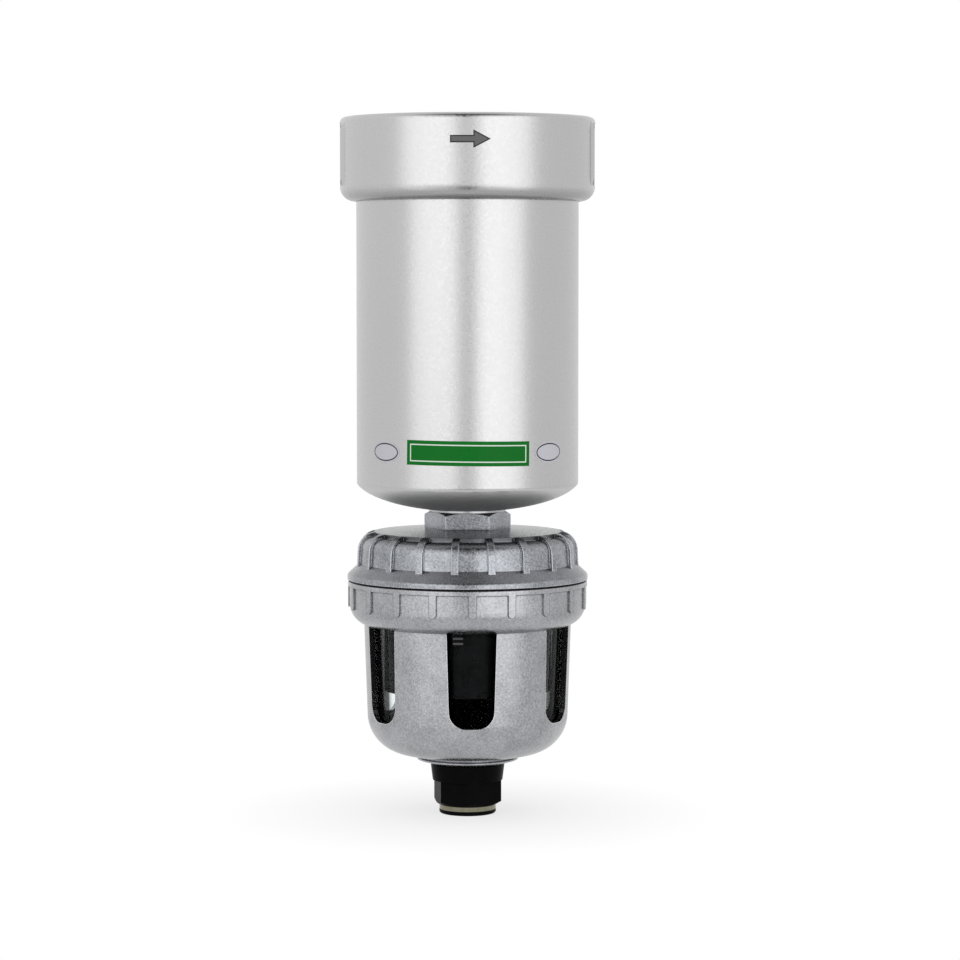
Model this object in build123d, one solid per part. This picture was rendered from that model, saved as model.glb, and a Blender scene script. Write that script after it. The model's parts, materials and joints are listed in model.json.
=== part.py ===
from build123d import *
import math
import os

# Compressed air filter with a float drain, in millimetres.
#
# The axis of the filter is Z, and the origin is the centre of the drain port's end face.
# Air comes in at -X and leaves at +X. The front, which bears the flow arrow, faces -Y.
# Angles round the axis are counted from the front, positive towards +X.

# Fits
RUNNING_FIT = 0.05          # radial gap of turning and sliding fits
THREAD_GAP = 0.02           # radial gap of threads and tight fits
LOOSE_GAP = 0.3             # gap round parts that hang, float or drop in
SEAT_GAP = 0.1              # height between a moving part and its stop
GROOVE_RELIEF = 0.05        # room beside a seal in its groove

# Threads, at their minor radius
HALF_INCH_PORT = 9.3155
THREE_EIGHTHS_PORT = 7.475

# Drain cock: knob, drain port and turning sleeve in one moulding
COCK_PORT_DEPTH = 8.0
COCK_PORT_BEVEL = 0.7
COCK_END_WALL = 2.825
COCK_LIP_HEIGHT = 1.6
COCK_LIP_ROUND = 0.8
COCK_HEX_WALL = 1.6
COCK_HEX_HEIGHT = 9.0
COCK_HEX_TURN = 41.4
COCK_COLLAR_HEIGHT = 6.0
COCK_COLLAR_WALL = 1.4
COCK_COLLAR_FLARE = 0.75
COCK_WEB = 2.3
COCK_SLEEVE_BORE = 5.8
COCK_SLEEVE_WALL = 1.95
COCK_SIDE_PORT = 1.8
COCK_PORT_LAND = 0.2
COCK_TO_NUT = 0.4
COCK_TO_GUARD = 0.2
BAND_HEIGHT = 1.6
BAND_THICKNESS = 1.0
CIRCLIP_THICKNESS = 0.9
CIRCLIP_REACH = 0.7
CIRCLIP_BITE = 0.75
CIRCLIP_OPENING = 40.0
HEX_BEVEL = 30.0            # slope of the bevel on both hexagons

# Seat, poppet and piston
SEAT_THROAT = 4.0
SEAT_THICKNESS = 2.0
POPPET_CLEARANCE = 0.6
POPPET_THICKNESS = 2.0
POPPET_SEAL_THICKNESS = 1.0
POPPET_SEAL_INSET = 0.2
PISTON_TRAVEL = 2.5
PISTON_STEM = 2.5
PISTON_STEM_END = 1.7
PISTON_HEAD_HEIGHT = 4.0
PISTON_SHOULDER = 0.75
PISTON_FINS = 4
PISTON_FIN_HEIGHT = 4.0
PISTON_FIN_THICKNESS = 1.2
PISTON_FIN_DROP = 6.0
BLEED_RADIUS = 0.8
SPRING_LENGTH = 12.0
SPRING_RADIUS = 5.6
SPRING_WIRE = 0.45
SPRING_TURNS = 4.5

# Valve body and its cap
STEM_WALL = 1.7
VALVE_FLANGE_REACH = 2.7
VALVE_FLANGE_HEIGHT = 2.6
VALVE_WALL = 2.3
SLEEVE_GUIDE = 8.5
CHAMBER_LENGTH = 19.0
GUIDE_WALL = 3.1
INLET_PORT = 1.9
INLET_PORTS = 4
FLOAT_STOP_HEIGHT = 2.2
VALVE_CAP_THICKNESS = 3.0
VALVE_CAP_SPIGOT = 4.0
NOZZLE_HEIGHT = 3.0
NOZZLE_FOOT = 2.4
NOZZLE_TIP = 1.3
NOZZLE_BORE = 0.6
STRAINER_LENGTH = 16.6
STRAINER_WALL = 1.0
STRAINER_SLOTS = 16
STRAINER_SLOT_WIDTH = 1.6
STRAINER_RIM = 1.2
NUT_HEIGHT = 3.5
NUT_WALL = 1.5
NUT_NOTCHES = 4
NUT_NOTCH_WIDTH = 3.0
NUT_NOTCH_DEPTH = 1.4

# Float and pilot lever
FLOAT_TRAVEL = 5.0
FLOAT_CLEARANCE = 1.2
FLOAT_HEIGHT = 29.2
FLOAT_WALL = 1.5
FLOAT_TUBE_WALL = 1.2
FLOAT_ROUND = 2.0
LEVER_PIVOT = 8.0           # from the axis towards the inlet side
LEVER_REACH = 16.5          # from the axis to the tip on the outlet side
LEVER_HEIGHT = 6.0          # pivot above the valve cap
LEVER_THICKNESS = 1.3
LEVER_WIDTH = 5.0
LEVER_HUB = 2.0
LEVER_TIP = 1.0
PIN_RADIUS = 1.0
PIN_OVERHANG = 0.3
EAR_THICKNESS = 2.0
PAD_RADIUS = 1.8
HOOK_GAP = 0.25
HOOK_THICKNESS = 1.3
HOOK_LIP = 2.3
HOOK_POST = 1.8
HOOK_WIDTH = 7.0
HOOK_CLEARANCE = 0.7

# Bowl guard and bowl
GUARD_HEIGHT = 66.4
GUARD_LIP_HEIGHT = 2.1
GUARD_LIP_REACH = 1.3
GUARD_LIP_EDGE = 0.7          # straight edge above the sloping underside
GUARD_LIP_ROUND = 0.3
GUARD_NECK_HEIGHT = 1.6
GUARD_HUB_FLOOR = 2.3
GUARD_WALL = 2.1
GUARD_FOOT_RADIUS = 35.8    # wall carried straight down to the floor
GUARD_CORNER = 14.5
GUARD_TAPER = 2.0
WINDOWS = 6
WINDOW_FIRST = 2.5
WINDOW_WIDTH = 15.8         # at the lower end
WINDOW_DRAFT = 1.6
WINDOW_BASE = 16.7          # above the foot of the guard
WINDOW_CORNER = 6.2
RING_LEDGE = 3.65
RING_WALL = 3.5
RING_DEPTH = 10.4           # from the ring's top to the ledge for the bowl
RING_CORNER_DROP = 13.4
RING_BELLY = 8.0
RING_BELLY_SLOPE = 24.0
RING_BAND = 1.8
RING_EDGE_ROUND = 0.4
RIBS = 19
RIB_WIDTH = 2.8
GUARD_RIB_RISE = 0.6
GUARD_RIB_DROP = 9.9        # from the ring's top to the rib's rounded end
GUARD_RIB_ROOT = 1.8
GUARD_RIB_FIRST = 2.5
BOWL_GAP = 0.5
BOWL_WALL = 2.6
BOWL_BOSS_WALL = 2.2
BOWL_BOSS_FLOOR = 3.0
BOWL_RIM_HEIGHT = 2.6

# Drain cap
GASKET_THICKNESS = 0.65
GASKET_INSET = 0.4
GASKET_WIDTH = 3.6
LUGS = 4
LUG_ANGLE = 38.0
LUG_REACH = 1.7
LUG_HEIGHT = 2.8
SPIGOT_WALL = 3.8
CAP_HEIGHT = 19.5
CAP_CROWN_FALL = 2.75
CAP_CROWN_EDGE = 5.8        # from the side wall in to the top of the pockets
CAP_WALL = 6.8
CAP_ROOF = 4.7
CAP_ROOF_ROUND = 4.0
CAP_SHOULDER = 6.8
CAP_SIDE_LEAN = 0.6
CAP_POCKET = 1.1
CAP_POCKET_BASE = 5.8       # above the underside of the flange
CAP_RIB_WIDTH = 2.5
CAP_RIB_FIRST = -6.3
CAP_FLANGE_REACH = 0.2
CAP_FLANGE_EDGE = 1.7
CAP_FLANGE_ROUND = 1.2
CAP_HEX_FLATS = 27.0
CAP_HEX_HEIGHT = 5.0
CAP_BOSS_WALL = 4.7
CAP_BOSS_DEPTH = 10.5

# Nipple
NIPPLE_COLLAR_REACH = 4.55
NIPPLE_COLLAR_HEIGHT = 0.7
NIPPLE_BORE = 6.5
NIPPLE_THREAD_BELOW = 13.5
NIPPLE_THREAD_ABOVE = 11.5

# Housing
HOUSING_RADIUS = 40.0
HOUSING_WALL = 3.5
HOUSING_DOME = 9.3
HOUSING_CORNER = 1.6
HOUSING_LENGTH = 110.8      # from the foot of the dome to the head
HOUSING_BOSS_WALL = 4.7
HOUSING_BOSS_FACE = 14.2
DOME_OVERREACH = 1.0         # the dome's ellipse is wider than the wall
HOUSING_BOSS_RISE = 0.5     # inner boss above the nipple's thread
HOUSING_NECK_STEP = 1.3
HOUSING_NECK_HEIGHT = 5.4

# Head
HEAD_OVERHANG = 5.85
HEAD_HEIGHT = 30.0
HEAD_TOP_ROUND = 1.9
HEAD_BOTTOM_ROUND = 5.3
HEAD_LAP = 1.3
HEAD_SPIGOT_DROP = 2.0
HEAD_SPIGOT_WALL = 4.7
HEAD_CHAMBER_DEPTH = 6.5
HEAD_SEAL_RISE = 1.7
PORT_DROP = 12.5
PORT_DEPTH = 15.0
PORT_BEVEL = 0.6
PORT_FACE_WIDTH = 24.0
PORT_FACE_RISE = 0.15         # the flat port faces stand this far off the head
PORT_FACE_CORNER = 3.0
PORT_FACE_MARGIN = 0.3        # between a port face and the head's roundings
PASSAGE_RADIUS = 7.0
INLET_DROP_RADIUS = 6.0
INLET_DROP_INSET = 1.1
OUTLET_RADIUS = 10.0
OUTLET_WALL = 4.0
OUTLET_LIFT = 1.0
OUTLET_ROOF_DROP = 1.0      # roof of the outlet chamber below the passage's top
ROD_BOSS_WALL = 2.5
ROD_BOSS_HEIGHT = 12.0

# Filter element on its tie rod
ROD_RADIUS = 4.0
ROD_ENGAGEMENT = 11.0
ROD_HOLE_SPARE = 1.0
ROD_END = 2.0
SUMP_HEIGHT = 7.8           # free height under the tie rod
ROD_NUT_FLATS = 13.0
ROD_NUT_HEIGHT = 6.5
WASHER_RADIUS = 8.0
WASHER_THICKNESS = 1.5
SEAL_THICKNESS = 2.0
ELEMENT_RADIUS = 24.2
CORE_RADIUS = 12.8
MESH_THICKNESS = 0.7
MESH_ROWS = 4
MESH_BRIDGE = 3.0
CAGE_COLUMNS = 8
CORE_COLUMNS = 4
PLEATS = 24
PLEAT_SETBACK = 2.4
PLEAT_GAP = 0.1
ELEMENT_CAP_THICKNESS = 3.0
ELEMENT_CAP_RIM = 4.0
ELEMENT_CAP_WALL = 0.8
SWIRL_HEIGHT = 6.5
SWIRL_RIM = 1.7
SWIRL_SEAT = 1.5
SWIRL_SEAT_REACH = 2.0
SWIRL_VANES = 16
VANE_ANGLE = 35.0
VANE_THICKNESS = 1.0
BAFFLE_HUB = 7.0
BAFFLE_HEIGHT = 7.0
BAFFLE_GAP = 3.5
BAFFLE_THICKNESS = 1.5

# Seals, by the radius of the cord
BOWL_SEAL = 1.3
HEAD_SEAL = 1.2
VALVE_SEAL = 0.8
PISTON_SEAL = 0.9
COCK_SEAL = 0.7

BASE = (Align.CENTER, Align.CENTER, Align.MIN)

# ---------------------------------------------------------------- radii

sleeve_radius = COCK_SLEEVE_BORE + COCK_SLEEVE_WALL
stem_bore = sleeve_radius + RUNNING_FIT
stem_radius = stem_bore + STEM_WALL
chamber_radius = sleeve_radius + CIRCLIP_REACH + LOOSE_GAP
cylinder_radius = chamber_radius + PISTON_SHOULDER
valve_radius = chamber_radius + VALVE_WALL
guide_radius = cylinder_radius + GUIDE_WALL
valve_flange_radius = max(stem_radius + VALVE_FLANGE_REACH, valve_radius + STRAINER_WALL)
float_bore = guide_radius + LOOSE_GAP
float_tube_radius = float_bore + FLOAT_TUBE_WALL
nut_radius = stem_radius + NUT_WALL
nut_cavity_radius = nut_radius + LOOSE_GAP
cock_end_radius = THREE_EIGHTHS_PORT + COCK_END_WALL
cock_slot_radius = stem_radius + RUNNING_FIT
cock_hex_flats = 2 * (cock_slot_radius + COCK_HEX_WALL)
cock_collar_radius = nut_cavity_radius + COCK_COLLAR_WALL
poppet_radius = COCK_SLEEVE_BORE - POPPET_CLEARANCE
stem_hole_radius = stem_radius + LOOSE_GAP
bowl_recess_radius = valve_flange_radius + LOOSE_GAP
bowl_boss_radius = bowl_recess_radius + BOWL_BOSS_WALL
guard_hub_radius = bowl_boss_radius + LOOSE_GAP
guard_neck_radius = guard_hub_radius + GUARD_WALL
guard_lip_radius = guard_neck_radius + GUARD_LIP_REACH
nipple_radius = HALF_INCH_PORT - THREAD_GAP
nipple_collar_radius = HALF_INCH_PORT + NIPPLE_COLLAR_REACH
housing_bore = HOUSING_RADIUS - HOUSING_WALL
housing_neck_radius = HOUSING_RADIUS - HOUSING_NECK_STEP
head_radius = HOUSING_RADIUS + HEAD_OVERHANG
port_face = head_radius + PORT_FACE_RISE
head_spigot_radius = housing_bore - LOOSE_GAP
head_spigot_bore = head_spigot_radius - HEAD_SPIGOT_WALL
outlet_boss_radius = OUTLET_RADIUS + OUTLET_WALL
rod_boss_radius = ROD_RADIUS + ROD_BOSS_WALL
element_cap_radius = ELEMENT_RADIUS + ELEMENT_CAP_WALL

# ---------------------------------------------------------------- heights

band_base = COCK_LIP_HEIGHT
band_top = band_base + BAND_HEIGHT
cock_hex_top = band_top + COCK_HEX_HEIGHT
cock_top = cock_hex_top + COCK_COLLAR_HEIGHT
cock_slot_base = COCK_PORT_DEPTH + COCK_WEB
stem_end = cock_slot_base + SEAT_GAP
guard_base = cock_top + COCK_TO_GUARD
nut_base = guard_base - NUT_HEIGHT
guard_lip_top = guard_base + GUARD_LIP_HEIGHT
guard_floor = guard_lip_top + GUARD_NECK_HEIGHT
guard_top = guard_base + GUARD_HEIGHT
bowl_base = guard_base + GUARD_HUB_FLOOR
valve_base = bowl_base + BOWL_BOSS_FLOOR
valve_flange_top = valve_base + VALVE_FLANGE_HEIGHT
side_port_height = valve_flange_top + COCK_SIDE_PORT + COCK_PORT_LAND
sleeve_shoulder = valve_base + SLEEVE_GUIDE
seat_base = sleeve_shoulder - SEAT_GAP
seat_top = seat_base + SEAT_THICKNESS
circlip_base = sleeve_shoulder + SEAT_GAP
inlet_port_height = seat_top + INLET_PORT + SEAT_GAP
strainer_top = valve_flange_top + STRAINER_LENGTH
float_stop = strainer_top + FLOAT_STOP_HEIGHT
cylinder_base = sleeve_shoulder + CHAMBER_LENGTH
piston_base = cylinder_base + RUNNING_FIT
piston_top = piston_base + PISTON_HEAD_HEIGHT
poppet_seal_top = seat_base - SEAT_GAP - PISTON_TRAVEL
poppet_top = poppet_seal_top - POPPET_SEAL_THICKNESS
poppet_base = poppet_top - POPPET_THICKNESS
valve_cap_foot = piston_top + SPRING_LENGTH
valve_top = valve_cap_foot + VALVE_CAP_SPIGOT
valve_cap_top = valve_top + VALVE_CAP_THICKNESS
nozzle_top = valve_cap_top + NOZZLE_HEIGHT
lever_height = valve_cap_top + LEVER_HEIGHT
float_base = float_stop + LOOSE_GAP
float_top = float_base + FLOAT_HEIGHT
ledge_height = guard_top - RING_DEPTH
bowl_rim_top = ledge_height + BOWL_RIM_HEIGHT
spigot_base = bowl_rim_top + LOOSE_GAP
lug_top = spigot_base + LUG_HEIGHT
cap_base = guard_top + GASKET_THICKNESS
cap_crown = cap_base + CAP_HEIGHT
cap_roof = cap_crown - CAP_ROOF
cap_boss_foot = cap_crown - CAP_BOSS_DEPTH
cap_hex_top = cap_crown + CAP_HEX_HEIGHT
housing_base = cap_hex_top + NIPPLE_COLLAR_HEIGHT
dome_height = housing_base + HOUSING_DOME
housing_boss_top = housing_base + NIPPLE_THREAD_ABOVE + HOUSING_BOSS_RISE
head_base = housing_base + HOUSING_LENGTH
head_top = head_base + HEAD_HEIGHT
neck_base = head_base + HEAD_LAP
neck_top = neck_base + HOUSING_NECK_HEIGHT
head_seal_height = neck_base + HEAD_SEAL_RISE
port_height = head_top - PORT_DROP
passage_top = port_height + PASSAGE_RADIUS
head_spigot_foot = head_base - HEAD_SPIGOT_DROP
head_chamber_top = head_spigot_foot + HEAD_CHAMBER_DEPTH
outlet_foot = head_spigot_foot + OUTLET_LIFT
outlet_roof = passage_top - OUTLET_ROOF_DROP
rod_boss_base = outlet_roof - ROD_BOSS_HEIGHT
rod_top = rod_boss_base + ROD_ENGAGEMENT
seal_base = outlet_foot - SEAL_THICKNESS
element_top = seal_base - ELEMENT_CAP_THICKNESS
swirl_base = head_spigot_foot - SWIRL_HEIGHT
rod_base = housing_boss_top + SUMP_HEIGHT
rod_nut_base = rod_base + ROD_END
washer_base = rod_nut_base + ROD_NUT_HEIGHT
baffle_base = washer_base + WASHER_THICKNESS
bottom_cap_base = baffle_base + BAFFLE_HEIGHT
element_base = bottom_cap_base + ELEMENT_CAP_THICKNESS

# ---------------------------------------------------------------- shapes


def disc(radius, low, high):
    """A solid cylinder on the axis, from one height to another."""
    return Pos(0, 0, low) * Cylinder(radius, high - low, align=BASE)


def tube(outer, inner, low, high):
    """A ring on the axis, from one height to another."""
    return disc(outer, low, high) - disc(inner, low, high)


def cone(radius_low, radius_high, low, high):
    """A solid cone on the axis, from one height to another."""
    return Pos(0, 0, low) * Cone(radius_low, radius_high, high - low, align=BASE)


def outline(corners):
    """A flat shape inside closed straight runs; a corner is its two places and a rounding."""
    points = [corner[:2] for corner in corners]
    rounds = [corner[2] if len(corner) == 3 else 0.0 for corner in corners]
    return make_face(FilletPolyline(*points, radius=rounds, close=True))


def turned(*corners, angle=360.0):
    """Turns an outline about the axis; a corner is a radius, a height and a rounding."""
    return revolve(Plane.XZ * outline(corners), Axis.Z, angle)


def around(shape, count, first=0.0):
    """Copies of a shape in a ring, the first one turned to its angle."""
    return [Rot(0, 0, first + 360.0 * number / count) * shape for number in range(count)]


def sector(outer, inner, low, high, angle, middle=0.0):
    """A piece of a ring, with its middle at an angle from the front."""
    piece = turned((inner, low), (outer, low), (outer, high), (inner, high), angle=angle)
    return Rot(0, 0, middle - 90.0 - angle / 2) * piece


def cross_hole(radius, height, start, end, angle=0.0):
    """A round hole square to the axis, between two distances from it."""
    hole = Pos(0, -start, height) * Rot(90, 0, 0) * Cylinder(radius, end - start, align=BASE)
    return Rot(0, 0, angle) * hole


def cross_bar(radius, width, place, height):
    """A round bar along Y, centred at a place along X."""
    return Pos(place, 0, height) * Rot(90, 0, 0) * Cylinder(radius, width)


def block(x_low, x_high, width, low, high):
    """A block between two places along X and two heights, centred along Y."""
    middle = Pos((x_low + x_high) / 2, 0, (low + high) / 2)
    return middle * Box(x_high - x_low, width, high - low)


def hexagon(flats, low, high, turn=0.0):
    """A hexagonal prism on the axis, measured across its flats."""
    shape = Rot(0, 0, turn) * RegularPolygon(flats / 2, 6, major_radius=False)
    return Pos(0, 0, low) * extrude(shape, high - low)


def bevel_rise(radius, flats):
    """Height of a bevel from a radius out to the corners of a hexagon."""
    return (flats / math.sqrt(3) - radius) * math.tan(math.radians(HEX_BEVEL))


def o_ring(middle, cord, height):
    """A seal ring, by the radius of its middle line and of its cord."""
    return Pos(0, 0, height) * Torus(middle, cord)


def groove(outer, bottom, cord, height):
    """The ring to cut for a seal lying in an outer face."""
    half = cord + GROOVE_RELIEF
    return tube(outer + cord, bottom, height - half, height + half)


def bore_seal(bore, cord, height):
    """A seal inside a bore, and the ring to cut for it in the part that carries it."""
    middle = bore - cord - THREAD_GAP
    return o_ring(middle, cord, height), groove(bore, middle - cord - THREAD_GAP, cord, height)


def pierced(wall, outer, inner, low, high, rows, columns):
    """Cuts rows of windows through a thin tube, leaving bridges between them."""
    pitch = (high - low - MESH_BRIDGE) / rows
    width = 2 * math.pi * outer / columns - MESH_BRIDGE
    depth = 2 * (outer - inner)
    for row in range(rows):
        window_low = low + MESH_BRIDGE + row * pitch
        window_high = window_low + pitch - MESH_BRIDGE
        middle = Pos(0, -outer + depth / 4, (window_low + window_high) / 2)
        window = middle * Box(width, 3 * depth, window_high - window_low)
        wall -= around(window, columns)
    return wall


# ---------------------------------------------------------------- drain cock


def seal_heights():
    """Heights of the two seals above and below the cock's side ports."""
    step = COCK_SIDE_PORT + 2 * COCK_SEAL
    return side_port_height - step, side_port_height + step


def make_drain_cock():
    flange = cock_end_radius - BAND_THICKNESS
    end = turned(
        (0, 0),
        (cock_end_radius, 0, COCK_LIP_ROUND),
        (cock_end_radius, band_base),
        (flange, band_base),
        (flange, band_top),
        (0, band_top),
    )
    corner = cock_hex_flats / math.sqrt(3)
    bevel_top = band_top + bevel_rise(cock_end_radius, cock_hex_flats)
    bevel = turned(
        (0, band_top),
        (cock_end_radius, band_top),
        (corner, bevel_top),
        (corner, cock_hex_top),
        (0, cock_hex_top),
    )
    grip = hexagon(cock_hex_flats, band_top, cock_hex_top, COCK_HEX_TURN) & bevel
    collar = cone(cock_collar_radius, cock_collar_radius + COCK_COLLAR_FLARE, cock_hex_top, cock_top)
    cock = end + grip + collar
    cock -= disc(cock_slot_radius, cock_slot_base, cock_top)
    cock -= disc(nut_cavity_radius, nut_base - COCK_TO_NUT, cock_top)
    cock += disc(sleeve_radius, cock_slot_base - COCK_WEB / 2, seat_top)
    cock -= disc(THREE_EIGHTHS_PORT, 0, COCK_PORT_DEPTH)
    cock -= cone(THREE_EIGHTHS_PORT + COCK_PORT_BEVEL, THREE_EIGHTHS_PORT, 0, COCK_PORT_BEVEL)
    cock -= disc(COCK_SLEEVE_BORE, COCK_PORT_DEPTH, seat_base)
    cock -= disc(SEAT_THROAT, seat_base, seat_top)
    cock -= around(cross_hole(COCK_SIDE_PORT, side_port_height, 0, stem_bore), 2)
    for height in seal_heights():
        seal, channel = bore_seal(stem_bore, COCK_SEAL, height)
        cock -= channel
    clip_top = circlip_base + CIRCLIP_THICKNESS + GROOVE_RELIEF
    cock -= tube(stem_bore, sleeve_radius - CIRCLIP_BITE, circlip_base, clip_top)
    return cock


def make_port_band():
    return tube(cock_end_radius, cock_end_radius - BAND_THICKNESS, band_base, band_top)


def make_cock_o_rings():
    low, high = seal_heights()
    return bore_seal(stem_bore, COCK_SEAL, low)[0] + bore_seal(stem_bore, COCK_SEAL, high)[0]


def make_cock_circlip():
    outer = sleeve_radius + CIRCLIP_REACH
    inner = sleeve_radius - CIRCLIP_BITE
    return sector(outer, inner, circlip_base, circlip_base + CIRCLIP_THICKNESS, 360.0 - CIRCLIP_OPENING)


# ---------------------------------------------------------------- valve


def valve_seal_radius():
    return (stem_radius + valve_flange_radius) / 2


def make_valve_body():
    body = turned(
        (stem_bore, stem_end),
        (stem_radius, stem_end),
        (stem_radius, valve_base),
        (valve_flange_radius, valve_base),
        (valve_flange_radius, valve_flange_top),
        (valve_radius, valve_flange_top),
        (valve_radius, strainer_top),
        (float_tube_radius, strainer_top),
        (float_tube_radius, float_stop),
        (guide_radius, float_stop),
        (guide_radius, valve_top),
        (cylinder_radius, valve_top),
        (cylinder_radius, cylinder_base),
        (chamber_radius, cylinder_base),
        (chamber_radius, sleeve_shoulder),
        (stem_bore, sleeve_shoulder),
    )
    middle = valve_seal_radius()
    half = VALVE_SEAL + THREAD_GAP
    body -= tube(middle + half, middle - half, valve_base, valve_base + 2 * half)
    body -= around(cross_hole(COCK_SIDE_PORT, side_port_height, 0, guide_radius), 2, 90.0)
    inlet = cross_hole(INLET_PORT, inlet_port_height, 0, guide_radius)
    body -= around(inlet, INLET_PORTS, 45.0)
    return body


def make_valve_body_o_ring():
    return o_ring(valve_seal_radius(), VALVE_SEAL, valve_base + VALVE_SEAL + THREAD_GAP)


def make_bowl_nut():
    nut = tube(nut_radius, stem_radius + THREAD_GAP, nut_base, guard_base)
    notch_middle = Pos(0, -nut_radius, nut_base + NUT_NOTCH_DEPTH / 2)
    notch = notch_middle * Box(NUT_NOTCH_WIDTH, NUT_WALL, NUT_NOTCH_DEPTH)
    return nut - around(notch, NUT_NOTCHES)


def make_drain_strainer():
    strainer = tube(valve_radius + STRAINER_WALL, valve_radius + THREAD_GAP, valve_flange_top, strainer_top)
    slot_height = STRAINER_LENGTH - 2 * STRAINER_RIM
    slot_middle = Pos(0, -valve_radius, (valve_flange_top + strainer_top) / 2)
    slot = slot_middle * Box(STRAINER_SLOT_WIDTH, 4 * STRAINER_WALL, slot_height)
    return strainer - around(slot, STRAINER_SLOTS)


def ear_gap():
    """Distance between the inner faces of the two ears of the valve cap."""
    return LEVER_WIDTH + 2 * LOOSE_GAP


def make_valve_cap():
    cap = disc(cylinder_radius - THREAD_GAP, valve_cap_foot, valve_top)
    cap += disc(guide_radius, valve_top, valve_cap_top)
    cap += cone(NOZZLE_FOOT, NOZZLE_TIP, valve_cap_top, nozzle_top)
    ear_width = ear_gap() + 2 * EAR_THICKNESS
    ears = block(-LEVER_PIVOT - LEVER_HUB, -LEVER_PIVOT + LEVER_HUB, ear_width, valve_cap_top, lever_height)
    ears += cross_bar(LEVER_HUB, ear_width, -LEVER_PIVOT, lever_height)
    ears -= block(-guide_radius, 0, ear_gap(), valve_cap_top, lever_height + 2 * LEVER_HUB)
    ears -= cross_bar(PIN_RADIUS + THREAD_GAP, ear_width, -LEVER_PIVOT, lever_height)
    cap += ears
    return cap - disc(NOZZLE_BORE, valve_cap_foot, nozzle_top)


def make_lever_pin():
    width = ear_gap() + 2 * EAR_THICKNESS + 2 * PIN_OVERHANG
    return cross_bar(PIN_RADIUS, width, -LEVER_PIVOT, lever_height)


def make_pilot_lever():
    half = LEVER_THICKNESS / 2
    lever = cross_bar(LEVER_HUB, LEVER_WIDTH, -LEVER_PIVOT, lever_height)
    lever += block(-LEVER_PIVOT, LEVER_REACH, LEVER_WIDTH, lever_height - half, lever_height + half)
    lever += cross_bar(LEVER_TIP, LEVER_WIDTH, LEVER_REACH, lever_height)
    return lever - cross_bar(PIN_RADIUS + RUNNING_FIT, 2 * LEVER_WIDTH, -LEVER_PIVOT, lever_height)


def make_pilot_pad():
    return disc(PAD_RADIUS, nozzle_top + RUNNING_FIT, lever_height - LEVER_THICKNESS / 2)


# ---------------------------------------------------------------- piston


def make_piston():
    piston = disc(cylinder_radius - RUNNING_FIT, piston_base, piston_top)
    piston += disc(PISTON_STEM, poppet_top, piston_base)
    piston += disc(PISTON_STEM_END, poppet_base, poppet_top)
    fin_top = piston_base - PISTON_FIN_DROP
    fin_reach = chamber_radius - RUNNING_FIT
    fin_middle = Pos(0, -fin_reach / 2, fin_top - PISTON_FIN_HEIGHT / 2)
    fin = fin_middle * Box(PISTON_FIN_THICKNESS, fin_reach, PISTON_FIN_HEIGHT)
    fins = disc(fin_reach, fin_top - PISTON_FIN_HEIGHT, fin_top)
    piston += [fins & blade for blade in around(fin, PISTON_FINS)]
    piston -= bore_seal(cylinder_radius, PISTON_SEAL, (piston_base + piston_top) / 2)[1]
    return piston - disc(BLEED_RADIUS, poppet_base, piston_top)


def make_piston_o_ring():
    return bore_seal(cylinder_radius, PISTON_SEAL, (piston_base + piston_top) / 2)[0]


def make_poppet():
    return tube(poppet_radius, PISTON_STEM_END + THREAD_GAP, poppet_base, poppet_top)


def make_poppet_seal():
    return tube(poppet_radius - POPPET_SEAL_INSET, PISTON_STEM + THREAD_GAP, poppet_top, poppet_seal_top)


def make_piston_spring():
    margin = SPRING_WIRE + THREAD_GAP
    rise = SPRING_LENGTH - 2 * margin
    coil = Pos(0, 0, piston_top + margin) * Helix(rise / SPRING_TURNS, rise, SPRING_RADIUS)
    return sweep(Plane(origin=coil @ 0, z_dir=coil % 0) * Circle(SPRING_WIRE), path=coil)


# ---------------------------------------------------------------- float


def wall_radius(height, inset=0.0):
    """Radius of the guard's tapered wall at a height, or of a face set in from it."""
    lean = math.radians(GUARD_TAPER)
    return GUARD_FOOT_RADIUS + (height - guard_floor) * math.tan(lean) - inset / math.cos(lean)


bowl_inset = GUARD_WALL + BOWL_GAP
bore_inset = bowl_inset + BOWL_WALL
float_radius = wall_radius(float_base, bore_inset) - FLOAT_CLEARANCE


def make_float():
    shell = turned(
        (float_bore, float_base),
        (float_tube_radius, float_base),
        (float_tube_radius, float_top - FLOAT_WALL),
        (float_radius - FLOAT_WALL, float_top - FLOAT_WALL),
        (float_radius - FLOAT_WALL, float_base),
        (float_radius, float_base),
        (float_radius, float_top, FLOAT_ROUND),
        (float_bore, float_top),
    )
    post_face = LEVER_REACH + LEVER_TIP + HOOK_CLEARANCE
    mouth = LEVER_TIP + HOOK_GAP
    hook_low = lever_height - mouth - HOOK_THICKNESS
    hook_high = lever_height + mouth + HOOK_THICKNESS
    hook = block(post_face - HOOK_LIP, post_face + HOOK_POST, HOOK_WIDTH, hook_low, hook_high)
    hook -= block(0, post_face, 2 * HOOK_WIDTH, lever_height - mouth, lever_height + mouth)
    hook += block(post_face, post_face + HOOK_POST, HOOK_WIDTH, float_top - FLOAT_WALL / 2, hook_high)
    return shell + hook


# ---------------------------------------------------------------- bowl and guard

ring_bore = wall_radius(ledge_height, GUARD_WALL) + RING_LEDGE
ring_radius = ring_bore + RING_WALL
ring_crest = ring_radius + GUARD_RIB_RISE
bowl_rim_radius = ring_bore - LOOSE_GAP
spigot_radius = bowl_rim_radius - LUG_REACH
spigot_bore = spigot_radius - SPIGOT_WALL
ring_corner = guard_top - RING_CORNER_DROP


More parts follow.
